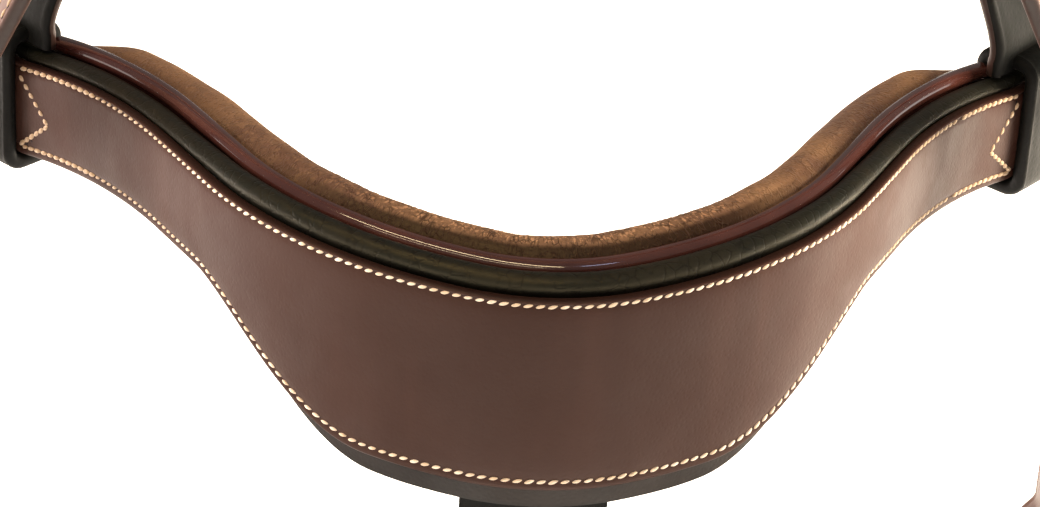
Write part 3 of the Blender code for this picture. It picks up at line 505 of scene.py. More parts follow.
def punch(start: float, end: float, half: float) -> BMesh:
    """A cutter for a hole with round ends in flat leather.

    Args:
        start: Where the hole starts along the strap.
        end: Where it ends.
        half: Half its width.

    Returns:
        The cutter, as a closed mesh.
    """
    bm = bmesh.new()
    bmesh.ops.create_circle(bm, cap_ends=True, segments=PUNCH_SIDES, radius=half)
    for vert in bm.verts:
        vert.co.x += end - half if vert.co.x > 0 else start + half
        vert.co.z -= PUNCH_REACH
    made = bmesh.ops.extrude_face_region(bm, geom=bm.faces[:])["geom"]
    far = [item for item in made if isinstance(item, BMVert)]
    bmesh.ops.translate(bm, verts=far, vec=(0, 0, 2 * PUNCH_REACH))
    bmesh.ops.recalc_face_normals(bm, faces=bm.faces)
    return bm


def scratch_object(name: str, bm: BMesh) -> bpy.types.Object:
    """Makes an object that lives only while a hole is cut.

    Args:
        name: The object's name.
        bm: Its mesh, which is used up.

    Returns:
        The object.
    """
    mesh = bpy.data.meshes.new(name)
    bmesh.ops.recalc_face_normals(bm, faces=bm.faces)
    bm.to_mesh(mesh)
    bm.free()
    obj = bpy.data.objects.new(name, mesh)
    bpy.context.scene.collection.objects.link(obj)
    return obj


def pierced(bm: BMesh, cutters: Sequence[BMesh]) -> BMesh:
    """The flat leather with holes cut through it.

    Args:
        bm: The flat leather, which is used up.
        cutters: The holes' cutters, which are used up.

    Returns:
        The leather with its holes.
    """
    for cutter in cutters:
        leather, tool = scratch_object("leather_blank", bm), scratch_object("punch", cutter)
        modifier = leather.modifiers.new("hole", "BOOLEAN")
        modifier.object, modifier.operation, modifier.solver = tool, "DIFFERENCE", "EXACT"
        done = leather.evaluated_get(bpy.context.evaluated_depsgraph_get())
        mesh = bpy.data.meshes.new_from_object(done)
        bm = bmesh.new()
        bm.from_mesh(mesh)
        for obj in (leather, tool):
            spare = obj.data
            bpy.data.objects.remove(obj)
            bpy.data.meshes.remove(spare)
        bpy.data.meshes.remove(mesh)
    return bm


# Finishes


class Recipe:
    """A material's node tree, written from the pattern up to the shader."""

    def __init__(self, name: str) -> None:
        """Starts a material with its Principled shader.

        Args:
            name: The material's name.
        """
        self.material = bpy.data.materials.new(name)
        self.material.use_nodes = True
        self.tree = self.material.node_tree
        self.shader = self.tree.nodes["Principled BSDF"]

    def feed(self, socket: Socket, value: object) -> None:
        """Links a socket's value, or sets it.

        Args:
            socket: The input.
            value: A constant, or the output that feeds the input.
        """
        if isinstance(value, Socket):
            self.tree.links.new(value, socket)
        else:
            socket.default_value = value

    def node(self, kind: str, output: int | str, inputs: dict[int | str, object],
             **settings: object) -> Socket:
        """Adds a node.

        Args:
            kind: Its type, without the words ShaderNode.
            output: Which of its outputs is wanted.
            inputs: What feeds its inputs.
            settings: Its own settings.

        Returns:
            The wanted output.
        """
        node = self.tree.nodes.new(f"ShaderNode{kind}")
        for name, value in settings.items():
            setattr(node, name, value)
        for name, value in inputs.items():
            self.feed(node.inputs[name], value)
        return node.outputs[output]

    def shade(self, **values: object) -> None:
        """Feeds the shader's inputs, named with underscores."""
        for name, value in values.items():
            self.feed(self.shader.inputs[name.replace("_", " ")], value)

    def coordinates(self, kind: str = "Object") -> Socket:
        """Where the pattern is read: Object, or UV for the leather's flat place."""
        return self.node("TexCoord", kind, {})

    def edge(self) -> Socket:
        """The distance from the leather's nearest edge."""
        return self.node("Attribute", "Fac", {}, attribute_name="edge")

    def away(self, where: Socket) -> Socket:
        """How far a place is from the middle along X."""
        return self.math("ABSOLUTE", self.node("SeparateXYZ", 0, {0: where}), 0.0)

    def stretched(self, where: Socket, scale: Colour) -> Socket:
        """Coordinates scaled by a different amount each way."""
        return self.node("Mapping", "Vector", {"Vector": where, "Scale": scale})

    def noise(self, where: Socket, scale: float, detail: float = 3, rough: float = 0.5,
              twist: float = 0) -> Socket:
        """A noise pattern about 0.5."""
        return self.node("TexNoise", "Fac", {"Vector": where, "Scale": scale, "Detail": detail,
                                             "Roughness": rough, "Distortion": twist})

    def noise_colour(self, where: Socket, scale: float) -> Socket:
        """A noise pattern in three channels, for making a pattern wavy."""
        return self.node("TexNoise", "Color", {"Vector": where, "Scale": scale})

    def cells(self, where: Socket, scale: float, feature: str = "F1") -> Socket:
        """A cell pattern's distances."""
        return self.node("TexVoronoi", "Distance", {"Vector": where, "Scale": scale}, feature=feature)

    def ramp(self, value: Socket, low: float, high: float, at_low: float = 0, at_high: float = 1) -> Socket:
        """A value carried from one range to another and held at its ends."""
        limits = {"From Min": low, "From Max": high, "To Min": at_low, "To Max": at_high}
        return self.node("MapRange", "Result", {"Value": value} | limits, interpolation_type="SMOOTHSTEP")

    def math(self, operation: str, first: object, second: object) -> Socket:
        """One sum of two values."""
        return self.node("Math", 0, {0: first, 1: second}, operation=operation)

    def times(self, first: object, second: object) -> Socket:
        """Two values multiplied."""
        return self.math("MULTIPLY", first, second)

    def mix(self, share: object, first: object, second: object, blend: str = "MIX") -> Socket:
        """Two colours mixed by a share."""
        under, over = ((*side, 1) if isinstance(side, tuple) else side for side in (first, second))
        return self.node("Mix", 2, {0: share, 6: under, 7: over}, data_type="RGBA", blend_type=blend)

    def bump(self, height: Socket, distance: float, strength: float = 1,
             under: Socket | None = None) -> Socket:
        """A relief of the surface, over another where one is given."""
        inputs = {"Strength": strength, "Distance": distance, "Height": height}
        return self.node("Bump", "Normal", inputs | ({"Normal": under} if under else {}))


@dataclass(frozen=True)
class Leather:
    """Smooth strap leather with patches of colour, fine grain, pores and burnished edges."""

    name: str
    slot: Slot
    colour: Colour
    shade: Colour
    glow: Colour
    roughness: float
    relief: float = 0.00006
    grain: float = 0.0009
    edge_width: float = 0.0011
    shine: float = 0.5

    def make(self) -> bpy.types.Material:
        """Builds the material.

        Returns:
            The material.
        """
        recipe = Recipe(self.name)
        here, flat = recipe.coordinates(), recipe.coordinates("UV")
        patches = recipe.noise(here, 26, 4, 0.55, 0.4)
        streaks = recipe.noise(recipe.stretched(here, (70, 70, 9)), 1, 3, 0.6)
        pores = recipe.ramp(recipe.noise(here, 1900, 1), 0.66, 0.76)
        cloudy = recipe.mix(recipe.ramp(patches, 0.34, 0.66), self.shade, self.colour)
        cloudy = recipe.mix(recipe.ramp(streaks, 0.48, 0.78, 0, 0.55), cloudy, self.glow)
        dotted = recipe.mix(recipe.times(pores, 0.35), cloudy, self.shade)
        burnt = recipe.ramp(recipe.edge(), 0, self.edge_width, 0.85, 0)
        dark = tuple(part * 0.35 for part in self.shade)
        recipe.shade(
            Base_Color=recipe.mix(burnt, dotted, dark),
            Roughness=recipe.ramp(recipe.noise(here, 60, 5, 0.6), 0.3, 0.7,
                                  self.roughness - 0.06, self.roughness + 0.07),
            Specular_IOR_Level=self.shine,
        )
        grain = recipe.ramp(recipe.cells(here, 1 / self.grain), 0, 0.65, 0, 1)
        fine = recipe.noise(here, 2.6 / self.grain, 2)
        fibres = recipe.noise(recipe.stretched(flat, (160, 900, 1)), 1, 2)
        relief = recipe.bump(grain, self.relief, 0.5)
        relief = recipe.bump(fine, self.relief * 0.5, 0.5, relief)
        recipe.shade(Normal=recipe.bump(fibres, self.relief * 0.6, 0.35, relief))
        return recipe.material


@dataclass(frozen=True)
class SoftLeather:
    """Thin leather over stuffing: wrinkles across the roll, open pores and a soft bloom."""

    name: str
    slot: Slot
    colour: Colour
    shade: Colour
    glow: Colour
    bloom: Colour
    roughness: float
    wrinkle: float
    sheen: float
    cracks: Colour
    shine: float
    reach: float = 0.062
    # Height scale of the painted crest highlight and the painted valley shade; zero paints neither.
    fade: float = 0.0

    def make(self) -> bpy.types.Material:
        """Builds the material.

        Returns:
            The material.
        """
        recipe = Recipe(self.name)
        here, flat = recipe.coordinates(), recipe.coordinates("UV")
        patches = recipe.noise(here, 45, 5, 0.6, 0.6)
        waves = recipe.noise_colour(recipe.stretched(flat, (260, 260, 1)), 1)
        wavy = recipe.stretched(recipe.mix(0.0007, flat, waves, "ADD"), self.cracks)
        cracks = recipe.ramp(recipe.cells(wavy, 1, "DISTANCE_TO_EDGE"), 0.015, 0.11)
        broken = recipe.ramp(recipe.noise(recipe.stretched(flat, (300, 420, 1)), 1, 2), 0.4, 0.56)
        folds = recipe.math("MAXIMUM", cracks, recipe.math("SUBTRACT", 1.0, broken))
        pores = recipe.ramp(recipe.cells(here, 1500), 0.1, 0.5)
        cloudy = recipe.mix(recipe.ramp(patches, 0.36, 0.68), self.colour, self.glow)
        wear_and_painted_light = recipe.mix(recipe.ramp(recipe.noise(here, 640, 3), 0.5, 0.7, 0, 0.6), cloudy, self.glow)
        strength = recipe.ramp(recipe.away(flat), self.reach * 0.5, self.reach, 0.75, 0.1)
        # For a roll, paints highlight specks along its lit crest and shade in the valley in front of it.
        if self.fade:
            wear_and_painted_light = self.painted_light_on_roll(recipe, flat, wear_and_painted_light, recipe.times(strength, cracks))
        # Darkens the fold lines towards the shade colour: partly their own darker tone, partly painted shade
        # in the creases.
        deep = recipe.times(recipe.math("SUBTRACT", 1.0, folds), strength)
        folded = recipe.mix(deep, wear_and_painted_light, self.shade)
        sunk = recipe.times(recipe.math("SUBTRACT", 1.0, pores), 0.3)
        recipe.shade(
            Base_Color=recipe.mix(sunk, folded, self.shade),
            Roughness=recipe.ramp(patches, 0.3, 0.7, self.roughness - 0.06, self.roughness + 0.08),
            Specular_Tint=(*self.bloom, 1), Specular_IOR_Level=self.shine,
            Sheen_Weight=self.sheen, Sheen_Roughness=0.35, Sheen_Tint=(*self.bloom, 1),
        )
        relief = recipe.bump(folds, self.wrinkle, 0.5)
        relief = recipe.bump(pores, self.wrinkle * 0.3, 0.4, relief)
        recipe.shade(Normal=recipe.bump(recipe.noise(here, 2200, 2), self.wrinkle * 0.15, 0.6, relief))
        return recipe.material

    def painted_light_on_roll(self, recipe: Recipe, flat: Socket, wear_and_painted_light: Socket, strength: Socket) -> Socket:
        """Adds painted highlight, bright specks along the lit crest of the roll, and painted shade in the
        valley in front of it.

        Args:
            recipe: The material's recipe.
            flat: The leather's flat place.
            wear_and_painted_light: The colour so far.
            strength: How strong the specks are.

        Returns:
            The colour.
        """
        rise = recipe.ramp(recipe.edge(), self.fade * 0.7, self.fade)
        painted_highlight_band = recipe.times(rise, recipe.ramp(recipe.edge(), self.fade * 1.4, self.fade * 1.9, 1, 0))
        specks = recipe.ramp(recipe.noise(recipe.stretched(flat, (1200, 800, 1)), 1, 2), 0.5, 0.58, 0, 1)
        share = recipe.times(recipe.times(specks, painted_highlight_band), strength)
        # Painted highlight: bright specks in the band along the roll's lit crest.
        wear_and_painted_light = recipe.mix(share, wear_and_painted_light, tuple(part * 2.2 for part in self.glow))
        # Painted shade in the valley in front of the roll, strongest near the middle.
        valley = recipe.ramp(recipe.edge(), self.fade * 0.5, self.fade * 0.8, 0.95, 0)
        valley = recipe.times(valley, recipe.ramp(recipe.away(flat), 0.035, 0.070, 1, 0.3))
        return recipe.mix(valley, wear_and_painted_light, tuple(part * 0.5 for part in self.shade))


@dataclass(frozen=True)
class PatentLeather:
    """Lacquered leather: a deep colour under a hard glossy coat with faint waves and dust."""

    name: str
    slot: Slot
    colour: Colour
    glow: Colour

    def make(self) -> bpy.types.Material:
        """Builds the material.

        Returns:
            The material.
        """
        recipe = Recipe(self.name)
        here, flat = recipe.coordinates(), recipe.coordinates("UV")
        patches = recipe.noise(here, 60, 4)
        dust = recipe.ramp(recipe.noise(here, 1500, 2), 0.68, 0.78)
        recipe.shade(
            Base_Color=recipe.mix(recipe.ramp(patches, 0.35, 0.7), self.colour, self.glow),
            Roughness=recipe.ramp(dust, 0, 1, 0.13, 0.4),
            Coat_Weight=1.0, Coat_Roughness=0.04, Coat_IOR=1.6,
        )
        waves = recipe.bump(recipe.noise(recipe.stretched(flat, (90, 30, 1)), 1, 2), 0.0003, 0.16)
        recipe.shade(Normal=waves, Coat_Normal=waves)
        return recipe.material


@dataclass(frozen=True)
class Thread:
    """Waxed linen thread, twisted, with a little bloom of fibres and painted shade towards the nosepiece's
    ends.
    """

    name: str
    slot: Slot
    colour: Colour
    shade: Colour
    # Colour of the painted shade towards the ends, and where along X it starts and ends.
    end_shade: Colour
    end_shade_start: float = 0.050
    end_shade_end: float = 0.082

    def make(self) -> bpy.types.Material:
        """Builds the material.

        Returns:
            The material.
        """
        recipe = Recipe(self.name)
        here = recipe.coordinates()
        plies = recipe.noise(recipe.stretched(here, (2600, 2600, 2600)), 1, 2)
        tone = recipe.noise(here, 260, 3)
        toned = recipe.mix(recipe.ramp(tone, 0.35, 0.65), self.shade, self.colour)
        # Painted shade: the thread turns darker and tan away from the middle along X, towards the ends.
        end_shading = recipe.ramp(recipe.away(here), self.end_shade_start, self.end_shade_end, 0, 0.85)
        toned = recipe.mix(end_shading, toned, self.end_shade)
        recipe.shade(
            Base_Color=recipe.mix(recipe.ramp(plies, 0.36, 0.5, 0.4, 0), toned, self.shade),
            Roughness=recipe.ramp(plies, 0.3, 0.7, 0.5, 0.72),
            Sheen_Weight=0.2,
            Normal=recipe.bump(plies, 0.00012, 0.6),
        )
        return recipe.material


@dataclass(frozen=True)
class Polished:
    """Nickel-plated wire: polished, with faint drawn lines and handling marks."""

    name: str
    slot: Slot
    colour: Colour
    roughness: float

    def make(self) -> bpy.types.Material:
        """Builds the material.

        Returns:
            The material.
        """
        recipe = Recipe(self.name)
        here = recipe.coordinates()
        marks = recipe.noise(here, 420, 5, 0.65)
        drawn = recipe.noise(recipe.stretched(here, (2400, 2400, 300)), 1, 2)
        dull = tuple(part * 0.72 for part in self.colour)
        recipe.shade(
            Base_Color=recipe.mix(recipe.ramp(marks, 0.5, 0.75), self.colour, dull),
            Metallic=1.0,
            Roughness=recipe.ramp(marks, 0.3, 0.75, self.roughness - 0.05, self.roughness + 0.14),
            Normal=recipe.bump(drawn, 0.00003, 0.3),
        )
        return recipe.material


@cache
def dressed(finish: "Finish") -> bpy.types.Material:
    """The finish's material, built once."""
    return finish.make()


Finish = Leather | SoftLeather | PatentLeather | Thread | Polished

BROWN = Leather("brown_strap_leather", Slot.BROWN, (0.085, 0.044, 0.034), (0.055, 0.028, 0.023),
                (0.125, 0.066, 0.048), 0.46)
PANEL = Leather("brown_panel_leather", Slot.BROWN, (0.047, 0.0205, 0.0148), (0.040, 0.017, 0.0122),
                (0.060, 0.026, 0.0185), 0.53, 0.00004, 0.0008, 0.0004, 0.17)
BASE = Leather("black_base_leather", Slot.BLACK, (0.018, 0.0105, 0.008), (0.010, 0.0065, 0.0055),
               (0.030, 0.016, 0.012), 0.5, shine=0.3)
BLACK = Leather("black_strap_leather", Slot.BLACK, (0.0048, 0.0050, 0.0045), (0.0035, 0.0037, 0.0034),
                (0.008, 0.008, 0.007), 0.6, 0.00006, 0.0010, shine=0.2)
WELT = SoftLeather("black_welt_leather", Slot.BLACK, (0.0075, 0.0085, 0.0072), (0.004, 0.004, 0.004),
                   (0.013, 0.012, 0.009), (1.0, 0.84, 0.52), 0.46, 0.00009, 0.0, (420, 420, 1), 0.33)
PIPING = PatentLeather("patent_piping", Slot.PATENT, (0.040, 0.012, 0.010), (0.062, 0.020, 0.015))
# The padding's last value paints highlight specks on the lit crest and shade in the valley above the piping.
PADDING = SoftLeather("padding_leather", Slot.PADDING, (0.108, 0.056, 0.037), (0.030, 0.014, 0.009),
                      (0.200, 0.110, 0.060), (1.0, 0.80, 0.50), 0.5, 0.0004, 0.04, (900, 560, 1), 0.4,
                      fade=0.0034)
# Its third colour is painted shade on the thread towards the ends.
THREAD = Thread("cream_thread", Slot.BROWN, (0.93, 0.78, 0.64), (0.72, 0.54, 0.38), (0.38, 0.245, 0.135))
# A needle hole's dark dimple: painted shade of the hole.
NEEDLE_HOLE_SHADE = Leather("needle_hole_shade", Slot.BROWN, (0.012, 0.006, 0.005), (0.008, 0.004, 0.003),
               (0.016, 0.008, 0.006), 0.8)
NICKEL = Polished("nickel_plate", Slot.NICKEL, (0.66, 0.64, 0.60), 0.2)


@dataclass(frozen=True)
class Crossing:
    """A joint that a piece of leather crosses, and the stretch in which it turns."""

    near: str
    far: str
    start: Vector
    end: Vector


def drop_crossing(far: str, x: float, lane: float) -> Crossing:
    """The turn of a strap where it hangs from the headpiece."""
    start, end = (Vector((x, lane, BEND_Z + sign * BEND_REACH)) for sign in (1, -1))
    return Crossing("bridle", far, start, end)


@dataclass
class Bench:
    """Turns meshes into finished pieces and tells the frame about them."""

    count: int = 0

    def finish(self, name: str, bm: BMesh, looks: Sequence[Finish], rides: str | Crossing,
               replaces: Sequence[str] = (), padded: float | None = None) -> None:
        """Makes one piece.

        Args:
            name: The piece's name.
            bm: Its mesh in place, which is used up.
            looks: Its finishes, by the faces' material numbers.
            rides: The body that it moves with, or the joint that it crosses.
            replaces: The frame's nodes that it stands for.
            padded: How full it is, for a padded piece. Not used.
        """
        face_outwards(bm)
        for face in bm.faces:
            face.smooth = True
        for edge in bm.edges:
            edge.smooth = len(edge.link_faces) != 2 or edge.calc_face_angle(0) < CRISP_ANGLE
        mesh = bpy.data.meshes.new(name)
        bm.to_mesh(mesh)
        bm.free()
        for look in looks:
            mesh.materials.append(dressed(look))
        obj = bpy.data.objects.new(name, mesh)
        bpy.context.scene.collection.objects.link(obj)
        if isinstance(rides, Crossing):
            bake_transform(obj, rides.near, rides.far, start=rides.start, end=rides.end)
        else:
            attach(obj, rides)
        if replaces:
            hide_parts(*replaces)
        self.count += 1
        LOG.info("%s: %d faces", name, len(mesh.polygons))


@dataclass
class Group:
    """A group of pieces, and the bench where they are finished."""

    bench: Bench


@dataclass
class Stitching:
    """Hand-looking saddle stitches: slanted grains of thread, each with a dark dimple of painted shade for
    its needle hole.
    """

    pitch: float
    length: float
    width: float
    height: float = 0.0006
    slant: float = math.radians(17)
    pinch: float = 0.3
    hole_share: float = 0.33
    hole_shape: Colour = (1, 0.4, 1.3)
    hole_place: Colour = (-0.58, -0.08, -0.40)
    unevenness: float = 0.12
    probe: float = 0.0002

    def __post_init__(self) -> None:
        """Makes the pattern of one stitch, which every stitch copies."""
        bm = bmesh.new()
        bmesh.ops.create_uvsphere(bm, u_segments=8, v_segments=6, radius=1)
        for vert in bm.verts:
            waist = 1 - self.pinch * vert.co.z**2
            vert.co = Vector((vert.co.x * waist * self.width / 2, vert.co.y * waist * self.height / 2,
                              vert.co.z * self.length / 2))
        hole = bmesh.ops.create_icosphere(bm, subdivisions=1, radius=self.width * self.hole_share)["verts"]
        bmesh.ops.scale(bm, verts=hole, vec=self.hole_shape)
        sizes = (self.width, self.height, self.length)
        offset = [share * size for share, size in zip(self.hole_place, sizes)]
        bmesh.ops.translate(bm, verts=hole, vec=offset)
        # The dimple takes the second material, painted shade of the needle hole.
        for face in {face for vert in hole for face in vert.link_faces}:
            face.material_index = 1
        self.pattern = bm

    def sew(self, bm: BMesh, place: Place, line: Sequence[Vector]) -> None:
        """Sews one seam along a flat line.

        Args:
            bm: The mesh that takes the stitches.
            place: Bends a flat place.
            line: The seam's flat corners, on the leather's surface.
        """
        marks = [0.0]
        for a, b in zip(line, line[1:]):
            marks.append(marks[-1] + (b - a).length)
        count = max(1, round(marks[-1] / self.pitch))
        mesh = bpy.data.meshes.new("stitch")
        for k in range(count):
            run = (k + 0.5) * marks[-1] / count
            leg = min(bisect_right(marks, run) - 1, len(line) - 2)
            heading = (line[leg + 1] - line[leg]).normalized()
            grain = self.pattern.copy()
            grain.transform(self.laid(place, line[leg] + heading * (run - marks[leg]), heading, k))
            grain.to_mesh(mesh)
            grain.free()
            bm.from_mesh(mesh)
        bpy.data.meshes.remove(mesh)

    def laid(self, place: Place, spot: Vector, heading: Vector, number: int) -> Matrix:
        """Where one stitch lies.

        Args:
            place: Bends a flat place.
            spot: The stitch's flat place.
            heading: The seam's flat direction.
            number: The stitch's number, which varies its slant and size a little.

        Returns:
            The matrix that carries the pattern to its place.
        """
        wander = noise.noise(Vector((number * 7.31, spot.y * 900, 0.5))) * self.unevenness
        slant = self.slant + wander
        side = Vector((-heading.y, heading.x, 0))
        lean = heading * math.cos(slant) + side * math.sin(slant)
        centre = place(spot)
        along = (place(spot + lean * self.probe) - centre).normalized()
        out = (place(spot + Z_AXIS * self.probe) - centre).normalized()
        out = (out - along * out.dot(along)).normalized()
        turned = Matrix((out.cross(along), out, along)).transposed().to_4x4()
        return Matrix.Translation(centre + out * self.height * 0.1) @ turned @ Matrix.Scale(1 + wander, 4)


SEAM = Stitching(0.00205, 0.0017, 0.00068)
ROPE_SEAM = Stitching(0.00195, 0.0021, 0.00100, 0.0008, math.radians(10))
TAIL_SEAM = Stitching(0.0021, 0.0016, 0.00110, 0.0009)
STRAP_SEAM = Stitching(0.0025, 0.0019, 0.0008)


@dataclass
class Strap:
    """One strap of leather: its way, its cut, and its edge seams."""

    name: str
    way: Way
    look: Finish = BROWN
    width: float = STRAP_WIDTH
    thick: float = STRAP_THICK
    tip: bool = False
    crease: float = 0.0019
    holes: tuple[float, ...] = ()
    slits: tuple[Point, ...] = ()
    skives: tuple[Point, ...] = ()
    seams: tuple[tuple[float, float, float], ...] = ()
    backing: Finish | None = None
    tip_length: float = 0.016
    hole_radius: float = 0.0016
    slit_half: float = 0.00125
    seam_inset: float = 0.0029

    def shaped(self, flat: Vector) -> Vector:
        """Cuts the strap's tip and pares its ends thin.

        Args:
            flat: A flat place of the whole leather.

        Returns:
            Where the cut leather has it.
        """
        left = (self.way.length - flat.x) / self.tip_length
        wide = max(1 - (1 - min(max(left, 0), 1)) ** 2.2, 0.02) ** 0.75 if self.tip else 1.0
        thin = ramp(flat.x, self.skives) if self.skives else 1.0
        return Vector((flat.x, flat.y * wide, flat.z * thin))

    def leather(self) -> BMesh:
        """Cuts, punches and bends the strap.

        Returns:
            The strap's mesh.
        """
        bm = extruded(strap_section(self.width, self.thick, self.crease), self.way.length)
        cutters = [punch(x - self.hole_radius, x + self.hole_radius, self.hole_radius) for x in self.holes]
        cutters += [punch(x - size / 2, x + size / 2, self.slit_half) for x, size in self.slits]
        bm = pierced(bm, cutters)
        half = self.width / 2
        stamp(bm, lambda at: half - abs(at.y))
        if self.backing:
            for face in bm.faces:
                face.material_index = int(face.calc_center_median().z < self.thick * 0.05)
        bend(bm, lambda at: self.way.place(self.shaped(at)))
        return bm

    def sewing(self) -> BMesh:
        """Sews the strap's seams, each given as (start, end, distance across).

        Returns:
            The stitches' mesh.
        """
        bm = bmesh.new()
        for start, end, across in self.seams:
            top = self.thick / 2 * (ramp((start + end) / 2, self.skives) if self.skives else 1)
            line = [Vector((start, across, top)), Vector((end, across, top))]
            STRAP_SEAM.sew(bm, self.way.place, line)
        return bm

    def edge_seams(self, start: float, end: float) -> tuple[tuple[float, float, float], ...]:
        """Two seams, one near each edge."""
        inset = self.width / 2 - self.seam_inset
        return ((start, end, inset), (start, end, -inset))

    def make(self, bench: Bench, rides: str | Crossing, replaces: Sequence[str] = ()) -> None:
        """Builds the strap and its stitches.

        Args:
            bench: Where the pieces are finished.
            rides: The body that the strap moves with, or the joint that it crosses.
            replaces: The frame's nodes that it stands for.
        """
        looks = [self.look] + ([self.backing] if self.backing else [])
        bench.finish(self.name, self.leather(), looks, rides, replaces)
        if self.seams:
            bench.finish(f"{self.name}_stitching", self.sewing(), [THREAD, NEEDLE_HOLE_SHADE], rides)


def make_band(bench: Bench, name: str, way: Way, width: float, thick: float, look: Finish,
              rides: str, replaces: Sequence[str], crease: float = 0.0012) -> None:
    """A closed leather band, such as a keeper or a loop.

    Args:
        bench: Where the piece is finished.
        name: The piece's name.
        way: The closed way round the middle of its wall.
        width: The band's width.
        thick: Its thickness.
        look: Its finish.
        rides: The body that it moves with.
        replaces: The frame's nodes that it stands for.
        crease: The distance of its creased lines from its edges.
    """
    bm = extruded(strap_section(width, thick, crease, 0.0001), way.length, 0.0008)
    stamp(bm, lambda at: width / 2 - abs(at.y))
    bend(bm, way.place)
    close_ring(bm)
    bench.finish(name, bm, [look], rides, replaces)


def make_wire(bench: Bench, name: str, way: Way, radius: float, rides: str, closed: bool) -> None:
    """A piece of nickel wire along a way, which stands for the node of its name.

    Args:
        bench: Where the piece is finished.
        name: The piece's name, which is the node's with "_wire" after it.
        way: The middle of the wire.
        radius: Its radius.
        rides: The body that it moves with.
        closed: True if the wire is one ring.
    """
    bm = extruded(round_section(radius), way.length, 0.0006)
    if not closed:
        for vert in bm.verts:
            left = min(vert.co.x, way.length - vert.co.x) / radius
            round_off = math.sqrt(max(1 - (1 - min(left, 1)) ** 2, 0.05))
            vert.co = Vector((vert.co.x, vert.co.y * round_off, vert.co.z * round_off))
    stamp(bm, lambda at: 1.0)
    bend(bm, way.place)
    if closed:
        close_ring(bm)
    bench.finish(f"{name}_wire", bm, [NICKEL], rides, [name])


